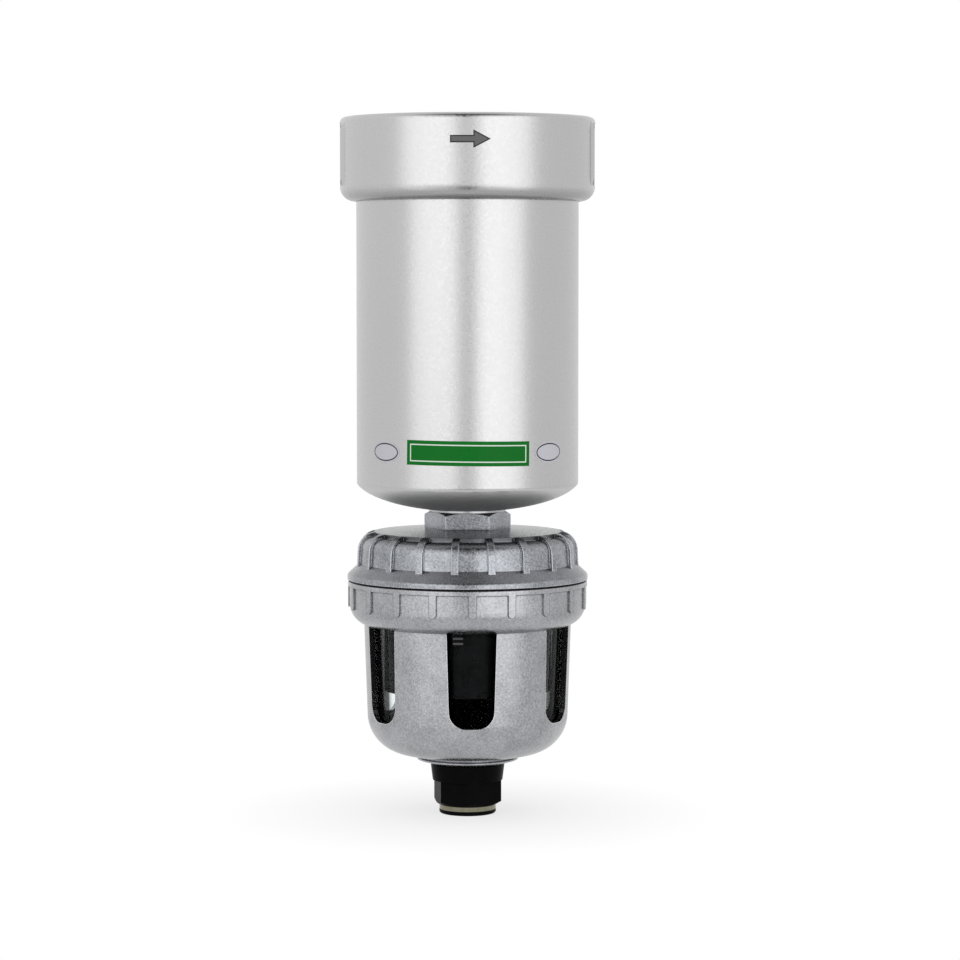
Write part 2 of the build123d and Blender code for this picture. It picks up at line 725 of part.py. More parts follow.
def make_bowl():
    floor = guard_floor + bowl_inset
    inner_floor = guard_floor + bore_inset
    return turned(
        (stem_hole_radius, bowl_base),
        (bowl_boss_radius, bowl_base),
        (bowl_boss_radius, floor),
        (wall_radius(floor, bowl_inset), floor, GUARD_CORNER - bowl_inset),
        (wall_radius(ledge_height, bowl_inset), ledge_height),
        (bowl_rim_radius, ledge_height),
        (bowl_rim_radius, bowl_rim_top),
        (wall_radius(bowl_rim_top, bore_inset), bowl_rim_top),
        (wall_radius(inner_floor, bore_inset), inner_floor, GUARD_CORNER - bore_inset),
        (bowl_recess_radius, inner_floor),
        (bowl_recess_radius, valve_base),
        (stem_hole_radius, valve_base),
    )


def belly_round():
    """Rounding under the ring, limited by the width that it has."""
    slope = math.radians(RING_BELLY_SLOPE)
    length = (ring_radius - wall_radius(ring_corner)) / math.cos(slope)
    return min(RING_BELLY, 0.95 * length / math.tan(math.pi / 4 - slope / 2))


def belly_foot():
    """Height at which the underside of the ring meets the wall."""
    slope = math.radians(RING_BELLY_SLOPE)
    return ring_corner - (ring_radius - wall_radius(ring_corner)) * math.tan(slope)


def make_window():
    low = guard_base + WINDOW_BASE
    high = belly_foot()
    half = WINDOW_WIDTH / 2
    top_half = half + (high - low) * math.tan(math.radians(WINDOW_DRAFT))
    corners = ((-half, low, WINDOW_CORNER), (half, low, WINDOW_CORNER), (top_half, high), (-top_half, high))
    return extrude(Plane.XZ * outline(corners), 2 * GUARD_FOOT_RADIUS)


def make_guard_rib():
    end = guard_top - GUARD_RIB_DROP + RIB_WIDTH / 2
    top = guard_top - RING_BAND / 2
    middle = ring_crest - GUARD_RIB_ROOT / 2
    bar = Pos(0, -middle, (end + top) / 2) * Box(RIB_WIDTH, GUARD_RIB_ROOT, top - end)
    return bar + cross_hole(RIB_WIDTH / 2, end, ring_crest - GUARD_RIB_ROOT, ring_crest)


def make_bowl_guard():
    inner_floor = guard_floor + GUARD_WALL
    guard = turned(
        (stem_hole_radius, guard_base),
        (cock_collar_radius + COCK_COLLAR_FLARE, guard_base),
        (guard_lip_radius, guard_lip_top - GUARD_LIP_EDGE, GUARD_LIP_ROUND),
        (guard_lip_radius, guard_lip_top, GUARD_LIP_ROUND),
        (guard_neck_radius, guard_lip_top),
        (guard_neck_radius, guard_floor),
        (wall_radius(guard_floor), guard_floor, GUARD_CORNER),
        (wall_radius(belly_foot()), belly_foot()),
        (ring_radius, ring_corner, belly_round()),
        (ring_radius, guard_top - RING_BAND),
        (ring_crest, guard_top - RING_BAND),
        (ring_crest, guard_top, RING_EDGE_ROUND),
        (ring_bore, guard_top),
        (ring_bore, ledge_height),
        (wall_radius(ledge_height, GUARD_WALL), ledge_height),
        (wall_radius(inner_floor, GUARD_WALL), inner_floor, GUARD_CORNER - GUARD_WALL),
        (guard_hub_radius, inner_floor),
        (guard_hub_radius, bowl_base),
        (stem_hole_radius, bowl_base),
    )
    guard -= around(make_window(), WINDOWS, WINDOW_FIRST)
    guard += around(make_guard_rib(), RIBS, GUARD_RIB_FIRST)
    lug_base = lug_top + SEAT_GAP
    lug_radius = spigot_radius + LOOSE_GAP
    lug = sector(ring_bore + RING_WALL / 2, lug_radius, lug_base, lug_base + LUG_HEIGHT, LUG_ANGLE)
    guard += around(lug, LUGS, 180.0 / LUGS)
    return guard


def make_bowl_o_ring():
    return o_ring((spigot_radius + spigot_bore) / 2, BOWL_SEAL, bowl_rim_top + BOWL_SEAL + THREAD_GAP)


def make_flange_gasket():
    outer = ring_crest - GASKET_INSET
    return tube(outer, outer - GASKET_WIDTH, guard_top, cap_base)


# ---------------------------------------------------------------- drain cap

cap_side_radius = spigot_bore + CAP_WALL
cap_flange_radius = ring_crest + CAP_FLANGE_REACH
cap_pocket_base = cap_base + CAP_POCKET_BASE


def cap_rib_foot():
    """Height at which the cap's ribs run out on the flare of its flange."""
    flare = cap_flange_radius - cap_side_radius + CAP_POCKET
    return cap_pocket_base - (CAP_POCKET_BASE - CAP_FLANGE_EDGE) * CAP_POCKET / flare


def make_cap_pockets():
    """The shallow pockets between the ribs, over the shoulder and down the side."""
    edge = cap_side_radius - CAP_SIDE_LEAN - CAP_CROWN_EDGE
    above = cap_crown + CAP_POCKET
    outside = cap_side_radius + CAP_POCKET
    top = cap_crown - CAP_CROWN_FALL - CAP_POCKET
    shoulder = 0.9 * (CAP_CROWN_EDGE - CAP_POCKET)
    ring = turned(
        (edge, above),
        (edge, top),
        (cap_side_radius - CAP_SIDE_LEAN - CAP_POCKET, top, shoulder),
        (cap_side_radius - CAP_POCKET, cap_pocket_base),
        (cap_side_radius, cap_rib_foot()),
        (outside, cap_rib_foot()),
        (outside, above),
    )
    middle = Pos(0, -cap_side_radius, (cap_pocket_base + above) / 2)
    rib = middle * Box(CAP_RIB_WIDTH, cap_side_radius, 2 * CAP_HEIGHT)
    return ring - around(rib, RIBS, CAP_RIB_FIRST)


def make_drain_cap():
    cap = turned(
        (0, cap_crown),
        (cap_side_radius - CAP_SIDE_LEAN, cap_crown - CAP_CROWN_FALL, CAP_SHOULDER),
        (cap_side_radius, cap_rib_foot()),
        (cap_flange_radius, cap_base + CAP_FLANGE_EDGE, CAP_FLANGE_ROUND),
        (cap_flange_radius, cap_base),
        (spigot_radius, cap_base),
        (spigot_radius, spigot_base),
        (spigot_bore, spigot_base),
        (spigot_bore, cap_roof, CAP_ROOF_ROUND),
        (0, cap_roof),
    )
    cap -= make_cap_pockets()
    crown_radius = CAP_HEX_FLATS / 2
    corner = CAP_HEX_FLATS / math.sqrt(3)
    bevel_foot = cap_hex_top - bevel_rise(crown_radius, CAP_HEX_FLATS)
    bevel = turned(
        (0, cap_roof),
        (corner, cap_roof),
        (corner, bevel_foot),
        (crown_radius, cap_hex_top),
        (0, cap_hex_top),
    )
    cap += hexagon(CAP_HEX_FLATS, cap_roof, cap_hex_top) & bevel
    cap += disc(HALF_INCH_PORT + CAP_BOSS_WALL, cap_boss_foot, cap_crown - CAP_ROOF / 2)
    cap -= disc(HALF_INCH_PORT, cap_boss_foot, cap_hex_top)
    seal_middle = (spigot_radius + spigot_bore) / 2
    half = BOWL_SEAL + THREAD_GAP
    cap -= tube(seal_middle + half, seal_middle - half, spigot_base, bowl_rim_top + 2 * half)
    lug = sector(spigot_radius + LUG_REACH, spigot_radius - LUG_REACH / 4, spigot_base, lug_top, LUG_ANGLE)
    cap += around(lug, LUGS, 180.0 / LUGS)
    return cap


def make_nipple():
    return turned(
        (NIPPLE_BORE, cap_hex_top - NIPPLE_THREAD_BELOW),
        (nipple_radius, cap_hex_top - NIPPLE_THREAD_BELOW),
        (nipple_radius, cap_hex_top),
        (nipple_collar_radius, cap_hex_top),
        (nipple_collar_radius, housing_base),
        (nipple_radius, housing_base),
        (nipple_radius, housing_base + NIPPLE_THREAD_ABOVE),
        (NIPPLE_BORE, housing_base + NIPPLE_THREAD_ABOVE),
    )


# ---------------------------------------------------------------- housing and head


def domed(radius, depth, corner, top):
    """A solid cylinder with an elliptical dome below, flat at its middle, up to a height."""
    reach = radius + DOME_OVERREACH
    rise = math.sqrt(1 - (radius / reach) ** 2)
    fall = math.sqrt(1 - (HOUSING_BOSS_FACE / reach) ** 2)
    belly = depth / (fall - rise)
    ellipse = Pos(0, dome_height + belly * rise) * Ellipse(reach, belly)
    below = Pos(radius / 2, dome_height - depth / 2) * Rectangle(radius, depth)
    above = Pos(radius / 2, (dome_height + top) / 2) * Rectangle(radius, top - dome_height)
    shape = revolve(Plane.XZ * ((ellipse & below) + above), Axis.Z)
    rim = shape.edges().filter_by(Plane.XY).group_by(Axis.Z)[1]
    return fillet(rim, corner)


def make_housing():
    housing = domed(HOUSING_RADIUS, HOUSING_DOME, HOUSING_CORNER, neck_base)
    housing += disc(housing_neck_radius, neck_base - HEAD_LAP, neck_top)
    housing -= domed(housing_bore, HOUSING_DOME - HOUSING_WALL, HOUSING_CORNER, neck_top)
    boss_root = housing_base + HOUSING_WALL / 2
    housing += disc(HALF_INCH_PORT + HOUSING_BOSS_WALL, boss_root, housing_boss_top)
    return housing - disc(HALF_INCH_PORT, housing_base, housing_boss_top)


def make_head():
    head = turned(
        (0, head_base),
        (head_radius, head_base, HEAD_BOTTOM_ROUND),
        (head_radius, head_top, HEAD_TOP_ROUND),
        (0, head_top),
    )
    thread_end = port_face - PORT_DEPTH
    face_foot = head_base + HEAD_BOTTOM_ROUND + PORT_FACE_MARGIN
    face_height = head_top - HEAD_TOP_ROUND - PORT_FACE_MARGIN - face_foot
    face = RectangleRounded(PORT_FACE_WIDTH, face_height, PORT_FACE_CORNER)
    place = Pos(0, -thread_end, face_foot + face_height / 2) * Rot(90, 0, 0)
    head += around(place * extrude(face, PORT_DEPTH), 2, 90.0)
    head += disc(head_spigot_radius, head_spigot_foot, head_base + HEAD_LAP)
    head -= tube(HOUSING_RADIUS + LOOSE_GAP, head_spigot_radius, head_base, neck_base)
    head -= tube(housing_neck_radius + THREAD_GAP, head_spigot_radius, neck_base, neck_top + LOOSE_GAP)
    channel = bore_seal(housing_bore, HEAD_SEAL, head_seal_height)[1]
    head -= channel & disc(head_spigot_radius, head_base, neck_top)
    head -= tube(head_spigot_bore, outlet_boss_radius, head_spigot_foot, head_chamber_top)
    head -= disc(outlet_boss_radius, head_spigot_foot, outlet_foot)
    head -= disc(OUTLET_RADIUS, outlet_foot, rod_boss_base)
    head -= tube(OUTLET_RADIUS, rod_boss_radius, rod_boss_base, outlet_roof)
    head -= disc(ROD_RADIUS + THREAD_GAP, rod_boss_base, rod_top + ROD_HOLE_SPARE)
    drop = head_spigot_bore - INLET_DROP_RADIUS - INLET_DROP_INSET
    outlet = cross_hole(PASSAGE_RADIUS, port_height, 0, thread_end, 90.0)
    head -= outlet - disc(rod_boss_radius, rod_boss_base, head_top)
    head -= cross_hole(PASSAGE_RADIUS, port_height, drop, thread_end, 270.0)
    head -= Pos(-drop, 0, 0) * disc(INLET_DROP_RADIUS, head_spigot_foot, port_height)
    head -= around(cross_hole(HALF_INCH_PORT, port_height, thread_end, port_face), 2, 90.0)
    mouth = Pos(0, -port_face + PORT_BEVEL, port_height) * Rot(90, 0, 0)
    bevel = mouth * Cone(HALF_INCH_PORT, HALF_INCH_PORT + PORT_BEVEL, PORT_BEVEL, align=BASE)
    return head - around(bevel, 2, 90.0)


def make_head_o_ring():
    return bore_seal(housing_bore, HEAD_SEAL, head_seal_height)[0]


# ---------------------------------------------------------------- filter element


def make_tie_rod():
    return disc(ROD_RADIUS, rod_base, rod_top)


def make_element_seal():
    return tube(outlet_boss_radius, OUTLET_RADIUS, seal_base, outlet_foot)


def make_element_top_cap():
    seat_radius = element_cap_radius + SWIRL_SEAT_REACH
    return turned(
        (OUTLET_RADIUS, element_top),
        (ELEMENT_RADIUS + THREAD_GAP, element_top),
        (ELEMENT_RADIUS + THREAD_GAP, swirl_base - SWIRL_SEAT),
        (seat_radius, swirl_base - SWIRL_SEAT),
        (seat_radius, swirl_base),
        (element_cap_radius, swirl_base),
        (element_cap_radius, seal_base),
        (OUTLET_RADIUS, seal_base),
    )


def make_element_bottom_cap():
    rim_top = element_base + ELEMENT_CAP_RIM
    return turned(
        (ROD_RADIUS + THREAD_GAP, bottom_cap_base),
        (element_cap_radius, bottom_cap_base),
        (element_cap_radius, rim_top),
        (ELEMENT_RADIUS + THREAD_GAP, rim_top),
        (ELEMENT_RADIUS + THREAD_GAP, element_base),
        (ROD_RADIUS + THREAD_GAP, element_base),
    )


def make_element_outer_cage():
    inner = ELEMENT_RADIUS - MESH_THICKNESS
    cage = tube(ELEMENT_RADIUS, inner, element_base, element_top)
    return pierced(cage, ELEMENT_RADIUS, inner, element_base, element_top, MESH_ROWS, CAGE_COLUMNS)


def make_element_inner_core():
    inner = CORE_RADIUS - MESH_THICKNESS
    core = tube(CORE_RADIUS, inner, element_base, element_top)
    return pierced(core, CORE_RADIUS, inner, element_base, element_top, MESH_ROWS, CORE_COLUMNS)


def star(crest, root):
    """A closed zigzag between two radii."""
    points = []
    for number in range(2 * PLEATS):
        radius = crest if number % 2 == 0 else root
        turn = math.pi * number / PLEATS
        points.append((radius * math.sin(turn), -radius * math.cos(turn)))
    return make_face(Polyline(*points, close=True))


def make_element_media():
    crest = ELEMENT_RADIUS - MESH_THICKNESS - PLEAT_GAP
    root = CORE_RADIUS + PLEAT_GAP
    folds = star(crest, root + PLEAT_SETBACK) - star(crest - PLEAT_SETBACK, root)
    return Pos(0, 0, element_base) * extrude(folds, element_top - element_base)


def make_swirl_ring():
    rim_bore = element_cap_radius + THREAD_GAP
    hub = rim_bore + SWIRL_RIM
    outer = housing_bore - LOOSE_GAP
    rim = outer - SWIRL_RIM
    length = rim - hub + SWIRL_RIM
    middle = Pos(0, -(hub + rim) / 2, (swirl_base + head_spigot_foot) / 2)
    blade = middle * Rot(0, VANE_ANGLE, 0) * Box(VANE_THICKNESS, length, 2 * SWIRL_HEIGHT)
    room = tube(rim + SWIRL_RIM / 2, hub - SWIRL_RIM / 2, swirl_base, head_spigot_foot)
    ring = tube(hub, rim_bore, swirl_base, head_spigot_foot)
    ring += tube(outer, rim, swirl_base, head_spigot_foot)
    ring += [room & vane for vane in around(blade, SWIRL_VANES)]
    return ring


def make_baffle():
    edge = housing_bore - BAFFLE_GAP
    hole = ROD_RADIUS + THREAD_GAP
    return turned(
        (hole, baffle_base),
        (BAFFLE_HUB, baffle_base),
        (BAFFLE_HUB, bottom_cap_base - 2 * BAFFLE_THICKNESS),
        (edge, baffle_base - BAFFLE_THICKNESS),
        (edge, baffle_base),
        (BAFFLE_HUB + BAFFLE_THICKNESS, bottom_cap_base),
        (hole, bottom_cap_base),
    )


def make_element_washer():
    return tube(WASHER_RADIUS, ROD_RADIUS + THREAD_GAP, washer_base, baffle_base)


def make_element_nut():
    nut = hexagon(ROD_NUT_FLATS, rod_nut_base, washer_base)
    return nut - disc(ROD_RADIUS + THREAD_GAP, rod_nut_base, washer_base)


MAKERS = {
    "head": make_head,
    "head_o_ring": make_head_o_ring,
    "housing": make_housing,
    "tie_rod": make_tie_rod,
    "element_seal": make_element_seal,
    "element_top_cap": make_element_top_cap,
    "element_outer_cage": make_element_outer_cage,
    "element_media": make_element_media,
    "element_inner_core": make_element_inner_core,
    "element_bottom_cap": make_element_bottom_cap,
    "swirl_ring": make_swirl_ring,
    "baffle": make_baffle,
    "element_washer": make_element_washer,
    "element_nut": make_element_nut,
    "nipple": make_nipple,
    "drain_cap": make_drain_cap,
    "flange_gasket": make_flange_gasket,
    "bowl_o_ring": make_bowl_o_ring,
    "bowl_guard": make_bowl_guard,
    "bowl": make_bowl,
    "valve_body": make_valve_body,
    "valve_body_o_ring": make_valve_body_o_ring,
    "bowl_nut": make_bowl_nut,
    "drain_strainer": make_drain_strainer,
    "valve_cap": make_valve_cap,
    "lever_pin": make_lever_pin,
    "float": make_float,
    "pilot_lever": make_pilot_lever,
    "pilot_pad": make_pilot_pad,
    "piston": make_piston,
    "piston_o_ring": make_piston_o_ring,
    "poppet": make_poppet,
    "poppet_seal": make_poppet_seal,
    "piston_spring": make_piston_spring,
    "drain_cock": make_drain_cock,
    "port_band": make_port_band,
    "cock_o_rings": make_cock_o_rings,
    "cock_circlip": make_cock_circlip,
}

os.makedirs("parts", exist_ok=True)
for node, maker in MAKERS.items():
    export_step(maker(), f"parts/{node}.step")
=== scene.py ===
import json
import math

import bmesh
import bpy
from bpy.props import FloatProperty, FloatVectorProperty, IntProperty, PointerProperty
from mathutils import Euler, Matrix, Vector
from mathutils.bvhtree import BVHTree


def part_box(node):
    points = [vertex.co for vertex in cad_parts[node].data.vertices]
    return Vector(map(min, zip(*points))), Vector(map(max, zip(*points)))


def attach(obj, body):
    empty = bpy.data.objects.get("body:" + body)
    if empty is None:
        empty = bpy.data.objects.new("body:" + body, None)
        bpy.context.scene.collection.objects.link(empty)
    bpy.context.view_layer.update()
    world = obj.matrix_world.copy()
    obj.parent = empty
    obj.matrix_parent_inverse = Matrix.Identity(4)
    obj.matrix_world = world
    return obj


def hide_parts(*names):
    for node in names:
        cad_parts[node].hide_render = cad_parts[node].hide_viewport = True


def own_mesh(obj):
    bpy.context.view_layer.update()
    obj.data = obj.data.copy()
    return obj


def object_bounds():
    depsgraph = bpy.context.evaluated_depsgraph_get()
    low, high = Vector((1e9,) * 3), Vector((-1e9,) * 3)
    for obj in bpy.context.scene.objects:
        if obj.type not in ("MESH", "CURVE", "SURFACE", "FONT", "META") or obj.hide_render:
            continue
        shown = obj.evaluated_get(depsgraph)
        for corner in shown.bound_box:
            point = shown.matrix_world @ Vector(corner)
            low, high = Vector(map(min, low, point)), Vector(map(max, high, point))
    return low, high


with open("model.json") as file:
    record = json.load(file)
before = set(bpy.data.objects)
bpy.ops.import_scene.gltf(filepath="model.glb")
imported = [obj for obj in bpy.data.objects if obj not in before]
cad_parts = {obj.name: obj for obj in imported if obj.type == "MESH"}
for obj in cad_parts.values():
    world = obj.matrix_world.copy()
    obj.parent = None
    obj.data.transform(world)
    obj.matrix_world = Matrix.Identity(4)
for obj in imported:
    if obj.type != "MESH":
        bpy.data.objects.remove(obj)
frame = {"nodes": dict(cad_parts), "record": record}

bl_info = {
    "name": "Compressed Air Filter",
    "version": (1, 0, 0),
    "blender": (4, 5, 0),
    "location": "View3D > Sidebar > Air Filter",
    "description": "Gives the air filter its finishes, labels and threads, and lights it",
    "category": "Object",
}

MM = 0.001
CAD_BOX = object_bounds()
HEAD_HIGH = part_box("head")[1]
HOUSING_LOW, HOUSING_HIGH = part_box("housing")
CAP_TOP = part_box("drain_cap")[1].z
WINDOW_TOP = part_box("bowl_guard")[1].z - 15.7 * MM
MOUNTS = {mount["name"]: mount for mount in frame["record"]["mounts"]}

HAIR = 0.02 * MM  # by this much pieces are kept apart or let into one another
NEAR = 0.05 * MM  # points closer than this count as one
BLEND = 0.5 * MM  # width over which one look gives way to another
INK = 0.03 * MM  # thickness of one printed layer
OVAL_STOP = 0.1  # angle by which an oval's outline stops short of its points
THREAD_FOOT = 0.46  # half the width of a thread's foot, as a share of its pitch
THREAD_FLAT = 0.06  # half the width of its flat crest
WAVE_SCALE = 0.314  # scale of a wave texture whose rings are one metre apart

# Where a mask starts and where it is full. The first six say how far a surface looks up, or
# away from the filter's axis.
UNDERSIDE = (-0.20, -0.80)
LEVEL = (0.35, 0.60)
SHOULDER = (0.50, 0.93)
CROWN = (0.985, 0.996)
OUTSIDE = (0.45, 0.60)
NOT_INSIDE = (-0.40, -0.20)
CORNER = (0.30, 0.78)  # how open the surface is
EDGE = (0.985, 0.86)  # how far the softened normal agrees with the surface's own
MOST_NOISE = (0.3, 0.7)  # most values of a noise lie between these


# ---- sizes and colours


def length(name, description, millimetres):
    return FloatProperty(name=name, description=description, default=millimetres * MM, min=0.0,
                         precision=5, unit="LENGTH", subtype="DISTANCE")


def number(name, description, default, low=0.0, unit="NONE"):
    return FloatProperty(name=name, description=description, default=default, min=low, unit=unit)


def share(name, description, default):
    return FloatProperty(name=name, description=description, default=default, min=0.0, max=1.0,
                         subtype="FACTOR")


def tint(name, description, red, green, blue):
    return FloatVectorProperty(name=name, description=description, default=(red, green, blue),
                               size=3, min=0.0, max=1.0, subtype="COLOR")


def turn(name, description, degrees):
    return FloatProperty(name=name, description=description, default=math.radians(degrees),
                         subtype="ANGLE", unit="ROTATION")


class SatinMetalFinish(bpy.types.PropertyGroup):
    """Bead-blasted, anodised aluminium of the head and the housing"""
    colour: tint("Colour", "Colour of the anodised aluminium", 0.50, 0.495, 0.50)
    roughness: share("Roughness", "Roughness of the blasted surface", 0.29)
    grain: length("Grain", "Size of the blasted grain", 1.2)
    depth: length("Depth", "Height of the blasted grain", 0.045)
    cloud: length("Cloud", "Size of the clouds in the colour", 22.0)
    dome_height: length("Dome height", "Height of the housing's round foot", 14.0)
    # painted light: the underside of the housing's round foot takes this lighter colour in place of
    # the metal's own
    dome_painted_brightness: share("Dome colour", "Brightness of the underside of the housing", 0.61)
    dome_roughness: share("Dome roughness", "Roughness added on that underside", 0.22)
    # painted shade: the head's rounded lower edge is darkened in colour
    collar_painted_shade: share("Collar shade", "Shade of the head's rounded lower edge", 0.62)


class CastingFinish(bpy.types.PropertyGroup):
    """Lacquered die casting of the drain cap and the bowl guard"""
    cap_colour: tint("Cap colour", "Colour of the drain cap's casting", 0.288, 0.298, 0.318)
    guard_colour: tint("Guard colour", "Colour of the bowl guard's casting", 0.355, 0.357, 0.375)
    # painted shade: the inside of the guard and the walls of its windows take this near-black
    # colour
    inside_painted_shade: tint("Inside colour", "Black lacquer inside the bowl guard", 0.012, 0.012, 0.013)
    roughness: share("Roughness", "Roughness of the cast sides", 0.22)
    guard_roughness: share("Guard roughness", "How much rougher the bowl guard is", 0.03)
    crown_roughness: share("Crown roughness", "Roughness of the turned crown of the cap", 0.20)
    cap_contrast: share("Cap contrast", "Contrast of the cap's grain", 0.90)
    guard_contrast: share("Guard contrast", "Contrast of the guard's grain", 0.60)
    # wear and painted highlight: sharp cast edges are made brighter in colour
    worn_and_highlight_shade: number("Worn shade", "How much brighter worn edges are", 2.3, 1.0)
    # painted shade: a dark line along the edges of the guard's ring ribs
    rib_outline_painted_shade: share("Outline shade", "Shade along the edges of the guard's ring ribs", 0.42)
    grain: length("Grain", "Size of the cast grain", 0.8)
    depth: length("Depth", "Height of the cast grain", 0.09)
    swell: length("Swell", "Size of the slow waves in the cast surface", 9.0)
    swell_depth: length("Swell depth", "Height of the slow waves", 0.06)
    edge: length("Edge", "Softness of the cast edges", 0.45)
    # painted shade: the casting's corners are darkened in colour, found by how open the surface is
    painted_shade_reach: length("Dirt", "Reach of the shade in the casting's corners", 1.6)
    painted_corner_shade: share("Corner shade", "Shade in the casting's corners", 0.08)
    # painted shade: the cap's top and shoulder are darkened in colour
    top_painted_shade: share("Top shade", "Shade of the cap's top and shoulder", 0.34)
    top_depth: length("Top depth", "How far that shade reaches down the cap", 8.9)
    foot_reach: length("Foot reach", "Distance from the axis at which it starts", 15.7)


class HeadSizes(bpy.types.PropertyGroup):
    """The flat faces round the inlet and the outlet"""
    face_place: length("Face place", "Distance of the port faces from the axis", 45.3)
    face_corner: length("Face corner", "Width over which a face runs out of the round side", 3.0)
    mouth_bevel: length("Mouth bevel", "Width of the bevel round the mouth of a port", 0.6)


class PlasticFinish(bpy.types.PropertyGroup):
    """Moulded plastics of the drain and the filter element"""
    black: tint("Black", "Colour of the black mouldings", 0.004, 0.004, 0.0045)
    grey: tint("Grey", "Colour of the element's caps", 0.10, 0.105, 0.115)
    natural: tint("Natural", "Colour of the uncoloured mouldings", 0.66, 0.65, 0.60)
    clear: tint("Clear", "Tint of the clear bowl", 0.93, 0.96, 0.96)
    bowl_bend: number("Bowl bend", "How strongly the clear bowl bends light", 1.14, 1.0)
    bowl_shine: share("Bowl shine", "How strongly the clear bowl shines", 0.10)
    # painted shade: the clear bowl's wall darkens in colour where it is seen slantwise
    bowl_dim_from: share("Bowl dims from", "Slant of view at which its wall starts to darken", 0.50)
    bowl_dim_to: share("Bowl dims to", "Slant of view at which its wall is dark", 0.60)
    roughness: share("Roughness", "Roughness of the black mouldings", 0.30)


class LabelSizes(bpy.types.PropertyGroup):
    """The green label and the two oval stickers on the housing"""
    width: length("Width", "Width of the label along the housing", 45.3)
    height: length("Height", "Height of the label", 8.7)
    rise: length("Rise", "Middle of the labels above the housing's foot", 22.1)
    offset: length("Offset", "Middle of the label to the outlet side of the front", 0.4)
    inset: length("Frame inset", "White frame in from the label's edge", 1.25)
    line: length("Frame line", "Width of the white frame's line", 0.42)
    tilt: turn("Tilt", "How far the label was stuck out of level", -0.65)
    green: tint("Green", "Ink of the label", 0.001, 0.140, 0.012)
    white: tint("White", "Ink of the frame", 0.72, 0.80, 0.72)
    oval_width: length("Oval width", "Width of each sticker along the housing", 13.4)
    oval_height: length("Oval height", "Height of each sticker", 7.5)
    oval_rim: length("Oval rim", "Bare rim outside the dark line of a sticker", 0.55)
    oval_line: length("Oval line", "Width of the dark line round each sticker", 0.42)
    oval_angle: turn("Oval angle", "Angle of the stickers from the front", 46.2)
    oval_face: tint("Oval face", "Face of the stickers", 0.58, 0.58, 0.62)
    oval_ink: tint("Oval ink", "Dark line round the stickers", 0.025, 0.025, 0.045)


class ArrowSizes(bpy.types.PropertyGroup):
    """The flow arrow printed on the head"""
    length: length("Length", "Length of the arrow", 14.2)
    head_length: length("Head length", "Length of the arrow's head", 6.1)
    head_height: length("Head height", "Height of the arrow's head", 6.35)
    shaft: length("Shaft", "Thickness of the arrow's shaft", 2.6)
    offset: length("Offset", "Middle of the arrow to the outlet side of the front", 1.2)
    drop: length("Drop", "Middle of the arrow below the head's top", 9.3)
    edge: length("Edge", "Width of the darker printed edge", 0.45)
    colour: tint("Colour", "Ink of the arrow", 0.135, 0.132, 0.135)
    edge_colour: tint("Edge colour", "Ink of the arrow's edge", 0.035, 0.035, 0.038)


class MarkSizes(bpy.types.PropertyGroup):
    """The two level bars printed on the bowl"""
    upper: length("Upper", "Height of the upper bar", 67.2)
    lower: length("Lower", "Height of the lower bar", 65.4)
    width: length("Width", "Width of the bars round the bowl", 3.6)
    height: length("Height", "Height of each bar's stroke", 0.7)
    angle: turn("Angle", "Angle of the bars from the front", -5.4)
    colour: tint("Colour", "Ink of the bars", 0.10, 0.10, 0.105)


class ThreadSizes(bpy.types.PropertyGroup):
    """Pipe threads in the three ports"""
    port_pitch: length("Port pitch", "Pitch in the inlet and the outlet", 1.814)
    drain_pitch: length("Drain pitch", "Pitch in the drain port", 1.337)
    crest: length("Crest", "How far the crests stand into the bore", 0.62)
    steps: IntProperty(name="Steps", description="Pieces in each turn", default=48, min=12)


class StudioSizes(bpy.types.PropertyGroup):
    """Lights, floor and camera"""
    box_angle: turn("Box angle", "Angle of the soft lights from the front", 34.0)
    left_foot: length("Left foot", "Height of the left soft light's foot", 40.0)
    right_foot: length("Right foot", "Height of the right soft light's foot", 0.0)
    box_width: length("Box width", "Width of each soft light", 650.0)
    box_height: length("Box height", "Height of each soft light", 800.0)
    box_distance: length("Box distance", "Distance of the soft lights", 700.0)
    left_power: number("Left power", "Power of the left soft light", 1.9, unit="POWER")
    right_power: number("Right power", "Power of the right soft light", 2.1, unit="POWER")
    box_fade: share("Box fade", "Light left at a soft light's outer edge", 0.55)
    fill: share("Fill", "Strength of the room's plain light", 0.55)
    shade: share("Shade", "Light left in the shade over the camera", 0.05)
    shade_outer: turn("Shade outer", "Angle from the shade's middle to its edge", 50.0)
    shade_inner: turn("Shade inner", "Angle from its middle to where it is full", 8.0)
    shade_rise: turn("Shade rise", "Angle of the shade's middle above the level", 48.0)
    side: share("Side", "How much brighter the room is on the left", 0.10)
    floor: tint("Floor", "Colour of the floor", 0.90, 0.90, 0.90)
    floor_veil: share("Floor veil", "How far the floor fades to white under the filter", 0.72)
    floor_foot: length("Floor foot", "Distance at which it starts to go white", 20.0)
    floor_reach: length("Floor reach", "Distance at which it is plain white", 90.0)
    ring_start: length("Ring start", "Distance at which it starts to mirror", 120.0)
    ring_end: length("Ring end", "Distance at which it is a dull mirror", 300.0)
    mirror_start: length("Mirror start", "Distance at which metal starts to see it white", 700.0)
    floor_mirror: length("Floor mirror", "Distance at which metal sees it plain white", 2400.0)
    distance: length("Camera distance", "Distance of the camera from the axis", 1191.0)
    camera_side: length("Camera side", "Camera's place towards the outlet side", 4.5)
    camera_height: length("Camera height", "Camera above the floor", 196.85)
    pitch: turn("Camera pitch", "How far the camera looks down", 3.641)
    lens: number("Lens", "Focal length", 123.75, 1.0, "CAMERA")


